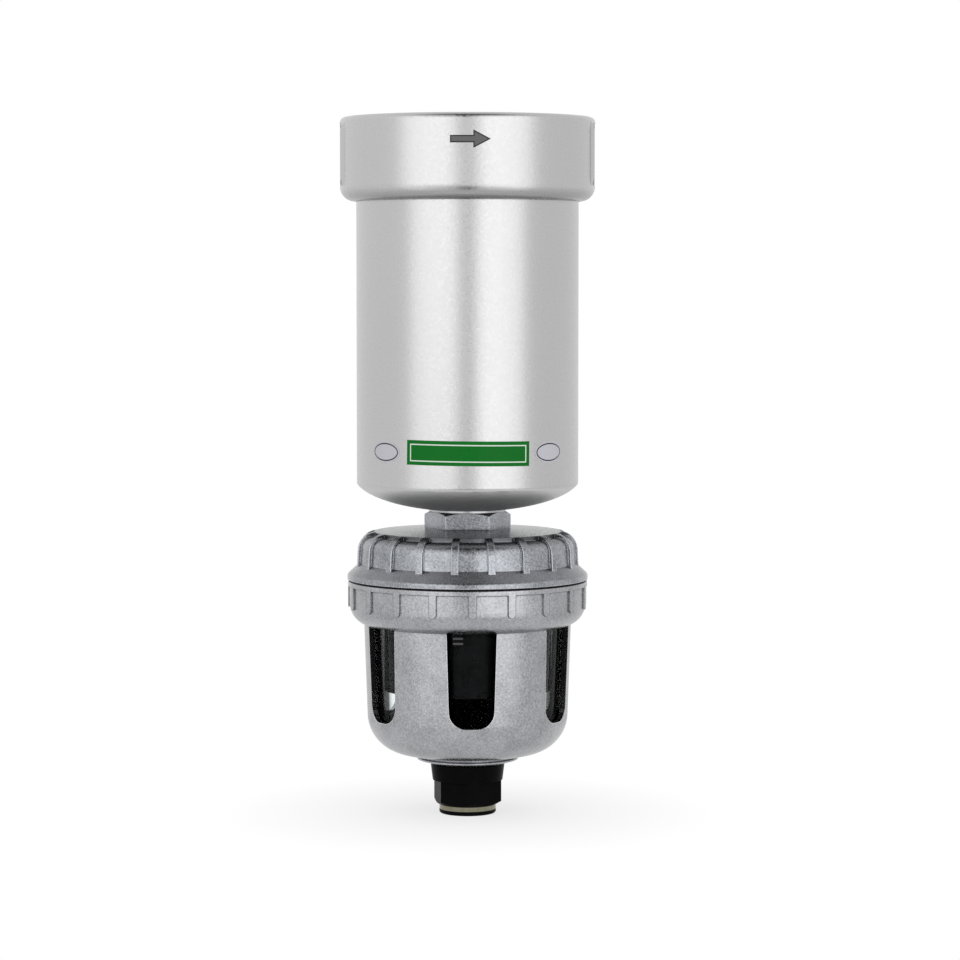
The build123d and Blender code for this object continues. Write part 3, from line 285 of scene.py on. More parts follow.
class AirFilterSettings(bpy.types.PropertyGroup):
    """Everything on the filter that can be set"""
    satin: PointerProperty(type=SatinMetalFinish)
    casting: PointerProperty(type=CastingFinish)
    head: PointerProperty(type=HeadSizes)
    plastic: PointerProperty(type=PlasticFinish)
    label: PointerProperty(type=LabelSizes)
    arrow: PointerProperty(type=ArrowSizes)
    mark: PointerProperty(type=MarkSizes)
    thread: PointerProperty(type=ThreadSizes)
    studio: PointerProperty(type=StudioSizes)


# ---- material helpers


class Wiring:
    """The nodes of a material, a light or a world, joined as they are added."""

    def __init__(self, tree):
        self.tree = tree

    def node(self, kind, output, inputs=None, **settings):
        """Adds a node and gives an output. An input is a constant or an output."""
        node = self.tree.nodes.new(kind)
        for setting, value in settings.items():
            setattr(node, setting, value)
        for socket, value in (inputs or {}).items():
            if isinstance(value, bpy.types.NodeSocket):
                self.tree.links.new(value, node.inputs[socket])
            else:
                node.inputs[socket].default_value = value
        return node.outputs[output]

    def join(self, value, node, socket):
        """Leads an output into a node that the tree already has."""
        self.tree.links.new(value, self.tree.nodes[node].inputs[socket])

    def spread(self, value, low, high, start=0.0, end=1.0, **settings):
        """Maps a value between two limits onto a range."""
        return self.node("ShaderNodeMapRange", "Result", {
            "Value": value, "From Min": start, "From Max": end, "To Min": low, "To Max": high},
            **settings)

    def ramp(self, value, start, end):
        """0 up to where a value starts and 1 from where it ends."""
        return self.spread(value, 0.0, 1.0, start, end)

    def reckon(self, operation, first, second=0.0):
        return self.node("ShaderNodeMath", "Value", {0: first, 1: second}, operation=operation)

    def vector(self, operation, output, *values):
        return self.node("ShaderNodeVectorMath", output, dict(enumerate(values)),
                         operation=operation)

    def along(self, vector, axis):
        return self.node("ShaderNodeSeparateXYZ", axis, {"Vector": vector})

    def light_path(self, output):
        return self.node("ShaderNodeLightPath", output)


class Finish(Wiring):
    """A material, with the patterns and masks that finishes share."""

    def __init__(self, name, colour, roughness, metallic=0.0):
        self.material = bpy.data.materials.new(name)
        self.material.use_nodes = True
        super().__init__(self.material.node_tree)
        self.shader = self.tree.nodes["Principled BSDF"]
        self.place = self.node("ShaderNodeTexCoord", "Object")
        self.colour = tuple(colour)
        self.normal = None
        self.set("Base Color", (*self.colour, 1.0))
        self.set("Roughness", roughness)
        self.set("Metallic", metallic)

    def set(self, socket, value):
        self.shader.inputs[socket].default_value = value

    def link(self, value, socket):
        self.tree.links.new(value, self.shader.inputs[socket])

    # Patterns

    def stretched(self, upright):
        """The place, scaled upright, which draws a pattern out or presses it flat."""
        return self.node("ShaderNodeMapping", "Vector",
                         {"Vector": self.place, "Scale": (1.0, 1.0, upright)})

    def noise(self, size, detail=2.0, rough=0.5, place=None):
        return self.node("ShaderNodeTexNoise", "Fac", {
            "Vector": place or self.place, "Scale": 1.0 / size, "Detail": detail,
            "Roughness": rough})

    def cells(self, size):
        return self.node("ShaderNodeTexVoronoi", "Distance",
                         {"Vector": self.place, "Scale": 1.0 / size})

    def turning(self, pitch, waviness):
        """Level rings, as a turning tool leaves them."""
        return self.node("ShaderNodeTexWave", "Fac", {
            "Vector": self.place, "Scale": WAVE_SCALE / pitch, "Distortion": waviness},
            bands_direction="Z")

    # Colours

    def mixed(self, value, first, second):
        """A colour between two colours."""
        first, second = (colour if isinstance(colour, bpy.types.NodeSocket) else (*colour, 1.0)
                         for colour in (first, second))
        return self.node("ShaderNodeMix", "Result", {"Factor": value, "A": first, "B": second},
                         data_type="RGBA")

    def toned(self, factor):
        """The finish's colour, made darker or lighter."""
        return [min(1.0, part * factor) for part in self.colour]

    def shaded(self, value, low, high):
        """The finish's colour, darker and lighter with a value."""
        return self.mixed(value, self.toned(low), self.toned(high))

    def bump(self, height, depth, strength=1.0):
        inputs = {"Height": height, "Distance": depth, "Strength": strength}
        if self.normal is not None:
            inputs["Normal"] = self.normal
        self.normal = self.node("ShaderNodeBump", "Normal", inputs)
        self.link(self.normal, "Normal")

    def vary(self, pattern, shades=None, roughness=None, depth=None, strength=1.0):
        """Lets a pattern vary the shade, the roughness and the height of the surface."""
        if shades:
            self.link(self.shaded(pattern, *shades), "Base Color")
        if roughness:
            self.link(self.spread(pattern, *roughness), "Roughness")
        if depth:
            self.bump(pattern, depth, strength)

    def soften(self, radius):
        """Rounds sharp edges in the shading."""
        self.normal = self.node("ShaderNodeBevel", "Normal", {"Radius": radius}, samples=6)

    # Masks

    def facing(self, output="True Normal"):
        return self.node("ShaderNodeNewGeometry", output)

    def facing_up(self):
        """How far the surface faces up, from -1 to 1."""
        return self.along(self.facing(), "Z")

    def height(self):
        """Height in the frame."""
        return self.along(self.place, "Z")

    def off_axis(self):
        """The way from the filter's axis straight out to the surface."""
        return self.vector("MULTIPLY", "Vector", self.place, (1.0, 1.0, 0.0))

    def reach(self):
        """Distance from the filter's axis."""
        return self.vector("LENGTH", "Value", self.off_axis())

    def facing_out(self):
        """How far the surface faces away from the filter's axis, from -1 to 1."""
        outward = self.vector("NORMALIZE", "Vector", self.off_axis())
        return self.vector("DOT_PRODUCT", "Value", outward, self.facing())

    def above_windows(self):
        """0 at the guard's windows and below, and 1 on the ring above them."""
        return self.ramp(self.height(), WINDOW_TOP - 2 * BLEND, WINDOW_TOP)

    def off_window_walls(self):
        """0 on the upright walls of the guard's windows, and 1 elsewhere."""
        level = self.ramp(self.reckon("ABSOLUTE", self.facing_up()), *LEVEL)
        outside = self.ramp(self.facing_out(), *OUTSIDE)
        return self.reckon("MAXIMUM", self.reckon("MAXIMUM", self.above_windows(), level), outside)

    def openness(self, reach):
        """How open the surface is, from 0 in its corners to 1."""
        seen = self.node("ShaderNodeAmbientOcclusion", "AO", {"Distance": reach}, samples=8)
        return self.ramp(seen, *CORNER)

    def worn_and_highlit_edges(self):
        """How sharply the softened surface bends, from 0 on flats to 1 on its edges."""
        return self.ramp(self.vector("DOT_PRODUCT", "Value", self.normal, self.facing("Normal")),
                         *EDGE)


def dress(material, *nodes):
    """Gives CAD nodes a material."""
    for name in nodes:
        piece = frame["nodes"][name]
        if not piece.material_slots:
            raise RuntimeError(f"{name} has no material slot")
        for place in piece.material_slots:
            place.material = material


# ---- mesh helpers


def placed(name, data):
    """Puts a new object into the scene."""
    thing = bpy.data.objects.new(name, data)
    bpy.context.scene.collection.objects.link(thing)
    return thing


def make_piece(name, build, materials, body):
    """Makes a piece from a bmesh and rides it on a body."""
    mesh = bpy.data.meshes.new(name)
    form = bmesh.new()
    build(form)
    bmesh.ops.recalc_face_normals(form, faces=form.faces)
    form.to_mesh(mesh)
    form.free()
    for material in materials:
        mesh.materials.append(material)
    piece = placed(name, mesh)
    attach(piece, body)
    return piece


def joined(form, rings):
    """Joins rings of four corners into one closed bar, and gives its faces."""
    faces = [form.faces.new(rings[0]), form.faces.new(rings[-1])]
    for first, second in zip(rings, rings[1:]):
        for side in range(4):
            other = (side + 1) % 4
            faces.append(form.faces.new((first[side], first[other], second[other], second[side])))
    return faces


def wrapped(form, columns, low, high, angle, height, tilt=0.0, index=0):
    """Adds a thin sheet wrapped on a cylinder.

    Each column is a place along the sheet and the two heights between which it stands there.
    """
    rings = []
    for along, bottom, top in columns:
        ring = []
        for radius, up in ((low, bottom), (low, top), (high, top), (high, bottom)):
            across = along * math.cos(tilt) - up * math.sin(tilt)
            rise = along * math.sin(tilt) + up * math.cos(tilt)
            turned = angle + across / high
            ring.append(form.verts.new((radius * math.sin(turned), -radius * math.cos(turned),
                                        height + rise)))
        rings.append(ring)
    for face in joined(form, rings):
        face.material_index = index


def layered(form, columns_at, layers, foil, radius, angle, height, tilt=0.0):
    """Adds a foil and the inks on it. A layer is an inset and the place of its material."""
    for order, (inset, index) in enumerate(layers):
        top = radius + foil + order * INK
        wrapped(form, columns_at(inset), radius, top, angle, height, tilt, index)


def block_columns(width, height, steps=24):
    return [(width * (step / steps - 0.5), -height / 2, height / 2) for step in range(steps + 1)]


def oval_columns(width, height, steps=32):
    """Columns of an oval, which stop a little short of its two points."""
    columns = []
    for step in range(steps + 1):
        swing = OVAL_STOP + (math.pi - 2 * OVAL_STOP) * step / steps
        half = height / 2 * math.sin(swing)
        columns.append((-width / 2 * math.cos(swing), -half, half))
    return columns


def helix_ridge(form, radius, crest, pitch, start, end, steps, mapping):
    """Adds the ridge of an inside thread between two places along its axis."""
    half = pitch * THREAD_FOOT
    flat = pitch * THREAD_FLAT
    count = int((end - start - 2 * half) / pitch * steps)
    rings = []
    for step in range(count + 1):
        turned = 2 * math.pi * step / steps
        middle = start + half + pitch * step / steps
        fade = min(1.0, step / steps, (count - step) / steps)
        inner, outer = radius - crest * fade, radius + HAIR
        rings.append([form.verts.new(mapping(distance * math.cos(turned),
                                             distance * math.sin(turned), middle + along))
                      for distance, along in ((outer, -half), (inner, -flat),
                                              (inner, flat), (outer, half))])
    joined(form, rings)


def surface_radius(node, angle, height):
    """Distance from the axis to the outside of a CAD node."""
    mesh = frame["nodes"][node].data
    tree = BVHTree.FromPolygons([v.co for v in mesh.vertices], [p.vertices for p in mesh.polygons])
    outward = Vector((math.sin(angle), -math.cos(angle), 0.0))
    start = outward + Vector((0.0, 0.0, height))
    spot = tree.ray_cast(start, -outward)[0]
    if spot is None:
        raise RuntimeError(f"nothing of {node} is found at that height")
    return spot.xy.length


# ---- finishes


class FILTER_OT_satin_metal(bpy.types.Operator):
    """Gives the head and the housing their blasted, anodised aluminium"""
    bl_idname = "air_filter.satin_metal"
    bl_label = "Head and housing"

    def execute(self, context):
        size = context.scene.air_filter.satin
        metal = Finish("satin_aluminium", size.colour, size.roughness, 1.0)
        grain = metal.noise(size.grain, 4.0, 0.65)
        cloud = metal.spread(metal.noise(size.cloud, 3.0), -0.25, 0.25)
        metal_tone = metal.shaded(metal.reckon("ADD", grain, cloud), 0.98, 1.02)
        dome_top = HOUSING_LOW.z + size.dome_height
        underside = metal.ramp(metal.facing_up(), *UNDERSIDE)
        dome = metal.reckon("MULTIPLY", underside,
                            metal.ramp(metal.height(), dome_top, dome_top - 4 * BLEND))
        collar = metal.reckon("SUBTRACT", underside, dome)
        # painted shade: surfaces that face down above the housing's foot, the head's rounded lower
        # edge, are darkened in colour
        metal_tone = metal.mixed(collar, metal_tone, metal.toned(size.collar_painted_shade))
        # painted light: the underside of the housing's round foot is given a lighter colour; the
        # roughness added there below is real
        metal.link(metal.mixed(dome, metal_tone, [size.dome_painted_brightness] * 3), "Base Color")
        rough = metal.spread(grain, size.roughness - 0.04, size.roughness + 0.05, *MOST_NOISE)
        dulled = metal.reckon("MULTIPLY", dome, size.dome_roughness)
        metal.link(metal.reckon("ADD", rough, dulled), "Roughness")
        metal.bump(grain, size.depth)
        dress(metal.material, "head", "housing")
        return {"FINISHED"}


class FILTER_OT_head(bpy.types.Operator):
    """Makes the head, with flat port faces that run out of its round sides"""
    bl_idname = "air_filter.head"
    bl_label = "Head with port faces"

    def execute(self, context):
        size = context.scene.air_filter.head
        shell = frame["nodes"]["head"].data.copy()
        shell.name = "head_with_port_faces"
        bends = [tuple(corner.vector) for corner in shell.corner_normals]
        plane = HEAD_HIGH.x
        flat = [vertex.co.copy() for vertex in shell.vertices if abs(vertex.co.x) > plane - HAIR]
        if not flat:
            raise RuntimeError("the head has no flat port faces")
        half = max(abs(spot.y) for spot in flat)
        foot, top = min(spot.z for spot in flat) - HAIR, max(spot.z for spot in flat) + HAIR
        mount = MOUNTS["inlet"]
        mouth, level = mount["dims"]["r_mm"] * MM + size.mouth_bevel, mount["pos_m"][2]
        drawn_out = set()
        for vertex in shell.vertices:
            x, y, z = vertex.co
            out, across = abs(x), abs(y)
            in_mouth = math.hypot(y, z - level) < mouth + NEAR
            if out > plane - HAIR or (in_mouth and out > plane - size.mouth_bevel - NEAR):
                out -= plane - size.face_place
            elif out > half and across > half - size.face_corner and foot < z < top:
                if abs(math.hypot(x, y) - HEAD_HIGH.y) > NEAR:
                    continue
                share_out = min(1.0, (across - half + size.face_corner) / size.face_corner)
                out += share_out * (size.face_place - HAIR - out)
                drawn_out.add(vertex.index)
            vertex.co.x = math.copysign(out, x)
        for face in shell.polygons:
            if drawn_out.intersection(face.vertices):
                for corner in face.loop_indices:
                    bends[corner] = tuple(face.normal)
        shell.normals_split_custom_set(bends)
        piece = placed("head_with_port_faces", shell)
        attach(piece, "filter_body")
        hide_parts("head")
        return {"FINISHED"}


class FILTER_OT_castings(bpy.types.Operator):
    """Gives the drain cap and the bowl guard their lacquered castings"""
    bl_idname = "air_filter.castings"
    bl_label = "Cap and guard"

    def execute(self, context):
        size = context.scene.air_filter.casting
        self.cast(size, "cast_cap", "drain_cap", size.cap_colour,
                  size.roughness, size.cap_contrast)
        self.cast(size, "cast_guard", "bowl_guard", size.guard_colour,
                  size.roughness + size.guard_roughness, size.guard_contrast)
        return {"FINISHED"}

    def cast(self, size, name, node, colour, roughness, contrast):
        """Makes a casting's material and gives it to its node."""
        cast = Finish(name, colour, roughness, 1.0)
        cast.soften(size.edge)
        worn_and_highlit = cast.worn_and_highlit_edges()
        grain = cast.noise(size.grain, 3.0, 0.6)
        swell = cast.noise(size.swell)
        rough = cast.spread(grain, roughness - 0.06, roughness + 0.10, *MOST_NOISE)
        mottle = cast.reckon("ADD", grain, cast.spread(swell, -0.2, 0.2))
        outside = cast.shaded(mottle, 1 - contrast, 1 + contrast)
        if node == "bowl_guard":
            # painted shade: above the windows the guard's rib edges are darkened in colour instead
            # of brightened
            outline = cast.reckon("MULTIPLY", worn_and_highlit, cast.above_windows())
            outside = cast.mixed(outline, outside, cast.toned(size.rib_outline_painted_shade))
            worn_and_highlit = cast.reckon("SUBTRACT", worn_and_highlit, outline)
        # wear and painted highlight: sharp edges are brightened in colour
        outside = cast.mixed(worn_and_highlit, outside, cast.toned(size.worn_and_highlight_shade))
        # painted shade: the casting's corners are darkened in colour
        outside = cast.mixed(cast.openness(size.painted_shade_reach), cast.toned(size.painted_corner_shade), outside)
        if node == "drain_cap":
            crown = cast.ramp(cast.facing_up(), *CROWN)
            smooth = cast.reckon("MULTIPLY", crown, roughness - size.crown_roughness)
            rough = cast.reckon("SUBTRACT", rough, smooth)
            # painted shade: the cap's shoulder and its top round the nipple's foot are darkened in
            # colour
            outside = cast.mixed(self.cap_top(cast, size), outside, cast.toned(size.top_painted_shade))
        else:
            # painted shade: the inside of the guard and the walls of its windows are near black and
            # not metal; bare is 1 only on the outside
            outward = cast.ramp(cast.facing_out(), *NOT_INSIDE)
            bare = cast.reckon("MULTIPLY", outward, cast.off_window_walls())
            outside = cast.mixed(bare, size.inside_painted_shade, outside)
            cast.link(bare, "Metallic")
        cast.link(outside, "Base Color")
        cast.link(rough, "Roughness")
        cast.bump(swell, size.swell_depth, 0.6)
        cast.bump(grain, size.depth, 0.8)
        dress(cast.material, node)

    def cap_top(self, cast, size):
        """1 on the cap's shoulder and top round the nipple's foot, and 0 elsewhere."""
        shoulder = cast.ramp(cast.facing_up(), *SHOULDER)
        rim = CAP_TOP - size.top_depth
        above_rim = cast.ramp(cast.height(), rim, rim + BLEND)
        off_foot = cast.ramp(cast.reach(), size.foot_reach, size.foot_reach + BLEND)
        return cast.reckon("MULTIPLY", cast.reckon("MAXIMUM", shoulder, above_rim), off_foot)


class FILTER_OT_fittings(bpy.types.Operator):
    """Gives the nipple, the port band and the steel parts their metals"""
    bl_idname = "air_filter.fittings"
    bl_label = "Fittings"

    def execute(self, context):
        nickel = Finish("dull_nickel", (0.40, 0.40, 0.41), 0.26, 1.0)
        nickel.vary(nickel.turning(0.12 * MM, 0.6), roughness=(0.20, 0.32), depth=0.002 * MM)
        dress(nickel.material, "nipple")

        band = Finish("nickel_brass", (0.30, 0.28, 0.20), 0.12, 1.0)
        stain = band.noise(2.5 * MM, 4.0)
        band.link(band.mixed(stain, (0.29, 0.28, 0.22), (0.16, 0.15, 0.09)), "Base Color")
        band.vary(band.turning(0.16 * MM, 0.8), roughness=(0.08, 0.16), depth=0.004 * MM)
        dress(band.material, "port_band")

        steel = Finish("zinc_plate", (0.56, 0.57, 0.58), 0.28, 1.0)
        steel.vary(steel.cells(1.4 * MM), shades=(0.85, 1.2))
        steel.vary(steel.noise(0.6 * MM, 3.0), roughness=(0.2, 0.4))
        dress(steel.material, "tie_rod", "element_washer", "element_nut", "lever_pin")

        spring = Finish("drawn_wire", (0.42, 0.42, 0.43), 0.24, 1.0)
        drawn = spring.noise(0.15 * MM, place=spring.stretched(6.0))
        spring.vary(drawn, shades=(0.75, 1.2), depth=0.004 * MM)
        dress(spring.material, "piston_spring", "cock_circlip")

        mesh = Finish("perforated_sheet", (0.50, 0.50, 0.50), 0.32, 1.0)
        # painted shade: the holes are near-black spots in the colour, with a bump, not openings
        holes = mesh.ramp(mesh.cells(1.5 * MM), 0.30, 0.36)
        mesh.link(mesh.mixed(holes, (0.02, 0.02, 0.02), mesh.colour), "Base Color")
        mesh.bump(holes, 0.2 * MM, 0.6)
        dress(mesh.material, "element_outer_cage", "element_inner_core")
        return {"FINISHED"}


class FILTER_OT_piston_coil(bpy.types.Operator):
    """Puts in a copy of the piston's coil spring with a mesh of its own; the real spring shortens
    as the piston rises
    """
    bl_idname = "air_filter.piston_coil"
    bl_label = "Piston spring"

    def execute(self, context):
        piece = placed("piston_coil", frame["nodes"]["piston_spring"].data.copy())
        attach(piece, "filter_body")
        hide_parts("piston_spring")
        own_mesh(piece)
        return {"FINISHED"}


class FILTER_OT_mouldings(bpy.types.Operator):
    """Gives the drain's and the element's mouldings their plastics"""
    bl_idname = "air_filter.mouldings"
    bl_label = "Mouldings"

    def execute(self, context):
        size = context.scene.air_filter.plastic
        nylon = Finish("black_nylon", size.black, size.roughness)
        nylon.vary(nylon.noise(4 * MM, 3.0), shades=(0.7, 1.5))
        nylon.vary(nylon.noise(0.5 * MM, 4.0, 0.6), depth=0.012 * MM,
                   roughness=(size.roughness - 0.08, size.roughness + 0.12))
        nylon.set("Specular IOR Level", 0.015)
        dress(nylon.material, "drain_cock", "valve_body", "valve_cap", "bowl_nut", "drain_strainer")

        shell = Finish("float_moulding", size.black, 0.14)
        flow = shell.noise(14 * MM, 3.0)
        shell.vary(flow, (0.8, 1.4), (0.08, 0.22, *MOST_NOISE), 0.05 * MM, 0.4)
        shell.set("Specular IOR Level", 0.07)
        dress(shell.material, "float")

        natural = Finish("acetal", size.natural, 0.38)
        natural.set("Subsurface Weight", 0.1)
        natural.vary(natural.noise(0.8 * MM, 3.0), shades=(0.93, 1.06), depth=0.01 * MM)
        dress(natural.material, "swirl_ring", "pilot_lever", "piston", "poppet")

        grey = Finish("grey_moulding", size.grey, 0.45)
        grey.vary(grey.noise(0.6 * MM, 4.0), shades=(0.8, 1.25), depth=0.02 * MM)
        dress(grey.material, "element_top_cap", "element_bottom_cap", "baffle")
        return {"FINISHED"}


class FILTER_OT_soft_parts(bpy.types.Operator):
    """Gives the seals their rubber and the element its filter paper"""
    bl_idname = "air_filter.soft_parts"
    bl_label = "Seals and media"

    def execute(self, context):
        rubber = Finish("seal_rubber", (0.006, 0.006, 0.0065), 0.55)
        rubber.set("Specular IOR Level", 0.08)
        rubber.vary(rubber.noise(3 * MM, 4.0), shades=(0.7, 1.8), roughness=(0.45, 0.68))
        rubber.vary(rubber.noise(0.25 * MM, 3.0), depth=0.01 * MM)
        dress(rubber.material, "head_o_ring", "element_seal", "flange_gasket", "bowl_o_ring",
              "valve_body_o_ring", "piston_o_ring", "poppet_seal", "cock_o_rings", "pilot_pad")

        paper = Finish("glass_fibre_paper", (0.78, 0.77, 0.71), 0.85)
        fibres = paper.noise(0.35 * MM, 6.0, 0.75, paper.stretched(0.35))
        paper.vary(fibres, shades=(0.8, 1.1), depth=0.08 * MM)
        dress(paper.material, "element_media")
        return {"FINISHED"}


class FILTER_OT_clear_bowl(bpy.types.Operator):
    """Makes the bowl of clear polycarbonate"""
    bl_idname = "air_filter.clear_bowl"
    bl_label = "Clear bowl"

    def execute(self, context):
        size = context.scene.air_filter.plastic
        clear = Finish("clear_polycarbonate", size.clear, 0.03)
        clear.set("Transmission Weight", 1.0)
        clear.set("IOR", size.bowl_bend)
        clear.set("Specular IOR Level", 0.04)
        clear.set("Specular Tint", (*[size.bowl_shine] * 3, 1.0))
        ripple = clear.noise(18 * MM, 2.0, 0.4)
        clear.vary(ripple, roughness=(0.015, 0.06, 0.35, 0.7), depth=0.08 * MM, strength=0.5)
        # painted shade: the clear wall is darkened in colour where it is seen slantwise
        slant = clear.node("ShaderNodeLayerWeight", "Facing", {"Blend": 0.5})
        dim = clear.ramp(slant, size.bowl_dim_from, size.bowl_dim_to)
        clear.link(clear.mixed(dim, clear.colour, (0.01, 0.01, 0.01)), "Base Color")
        dress(clear.material, "bowl")
        return {"FINISHED"}


# ---- labels and threads


def printed(name, colour, roughness, low=0.88, high=1.1):
    """Makes the material of an ink or a foil, a little uneven in shade."""
    ink = Finish(name, colour, roughness)
    ink.vary(ink.noise(0.5 * MM, 4.0, 0.6), (low, high), (roughness - 0.06, roughness + 0.08),
             0.006 * MM)
    ink.set("Specular IOR Level", 0.12)
    return ink.material


class FILTER_OT_green_label(bpy.types.Operator):
    """Sticks the bare green label with its white frame on the housing"""
    bl_idname = "air_filter.green_label"
    bl_label = "Green label"

    def execute(self, context):
        size = context.scene.air_filter.label
        radius = HOUSING_HIGH.x
        level = HOUSING_LOW.z + size.rise
        green = printed("label_green", size.green, 0.36, 0.75, 1.3)
        white = printed("label_white", size.white, 0.4)

        def block(inset):
            return block_columns(size.width - 2 * inset, size.height - 2 * inset)

        def build(form):
            layers = ((0.0, 0), (size.inset, 1), (size.inset + size.line, 0))
            layered(form, block, layers, 4 * INK, radius, size.offset / radius, level, size.tilt)

        make_piece("green_label", build, [green, white], "filter_body")
        return {"FINISHED"}


class FILTER_OT_oval_stickers(bpy.types.Operator):
    """Sticks a bare oval with a dark line on each side of the green label"""
    bl_idname = "air_filter.oval_stickers"
    bl_label = "Oval stickers"

    def execute(self, context):
        size = context.scene.air_filter.label
        radius = HOUSING_HIGH.x
        level = HOUSING_LOW.z + size.rise
        face = printed("sticker_face", size.oval_face, 0.3)
        ink = printed("sticker_ink", size.oval_ink, 0.35)

        def oval(inset):
            return oval_columns(size.oval_width - 2 * inset, size.oval_height - 2 * inset)

        for side, name in ((-1, "oval_sticker_inlet_side"), (1, "oval_sticker_outlet_side")):

            def build(form):
                layers = ((0.0, 0), (size.oval_rim, 1), (size.oval_rim + size.oval_line, 0))
                layered(form, oval, layers, 0.08 * MM, radius, side * size.oval_angle, level)

            make_piece(name, build, [face, ink], "filter_body")
        return {"FINISHED"}


class FILTER_OT_flow_arrow(bpy.types.Operator):
    """Prints the flow arrow on the front of the head"""
    bl_idname = "air_filter.flow_arrow"
    bl_label = "Flow arrow"

    def execute(self, context):
        size = context.scene.air_filter.arrow
        radius = HEAD_HIGH.y
        level = HEAD_HIGH.z - size.drop
        ink = printed("arrow_ink", size.colour, 0.45)
        edge_ink = printed("arrow_edge", size.edge_colour, 0.45)

        def outline(inset):
            """Columns of the arrow, drawn in by an inset all round."""
            tail = -size.length / 2 + inset
            neck = size.length / 2 - size.head_length
            slope = size.head_height / 2 / size.head_length
            slant = inset * math.hypot(1.0, slope)
            tip = size.length / 2 - slant / slope
            shaft = size.shaft / 2 - inset
            foot = neck + inset
            steps = range(13)
            last = steps[-1]
            columns = [(tail + (foot - tail) * step / last, -shaft, shaft) for step in steps]
            for step in steps:
                along = foot + (tip - foot) * step / last
                half = max((tip - along) * slope, HAIR / 2)
                columns.append((along + (0.001 * MM if step == 0 else 0.0), -half, half))
            return columns

        def build(form):
            layers = ((0.0, 1), (size.edge, 0))
            layered(form, outline, layers, 2 * INK, radius, size.offset / radius, level)

        make_piece("flow_arrow", build, [ink, edge_ink], "filter_body")
        return {"FINISHED"}


class FILTER_OT_level_marks(bpy.types.Operator):
    """Puts the two short level bars on the front of the bowl"""
    bl_idname = "air_filter.level_marks"
    bl_label = "Level marks"

    def execute(self, context):
        size = context.scene.air_filter.mark
        pale = printed("level_print", size.colour, 0.4)

        def build(form):
            for level in (size.upper, size.lower):
                radius = surface_radius("bowl", size.angle, level)
                wrapped(form, block_columns(size.width, size.height, 6), radius - HAIR,
                        radius + NEAR, size.angle, level)

        make_piece("level_marks", build, [pale], "filter_body")
        return {"FINISHED"}


class FILTER_OT_threads(bpy.types.Operator):
    """Cuts the pipe threads in the inlet, the outlet and the drain port"""
    bl_idname = "air_filter.threads"
    bl_label = "Port threads"

    def execute(self, context):
        size = context.scene.air_filter.thread
        for name, body, slot, pitch in (
                ("inlet", "filter_body", "satin_aluminium", size.port_pitch),
                ("outlet", "filter_body", "satin_aluminium", size.port_pitch),
                ("drain_outlet", "cock", "black_nylon", size.drain_pitch)):
            mount = MOUNTS[name]
            middle, out = Vector(mount["pos_m"]), Vector(mount["axis"])
            turning = out.to_track_quat("Z", "Y")
            half = mount["dims"]["length_mm"] * MM / 2

            def mapping(x, y, z):
                return middle + turning @ Vector((x, y, z))

            def build(form):
                helix_ridge(form, mount["dims"]["r_mm"] * MM, size.crest, pitch, -half, half,
                            size.steps, mapping)

            piece = make_piece(f"{name}_thread", build, [bpy.data.materials[slot]], body)
            piece.data.shade_smooth()
        return {"FINISHED"}


# ---- studio


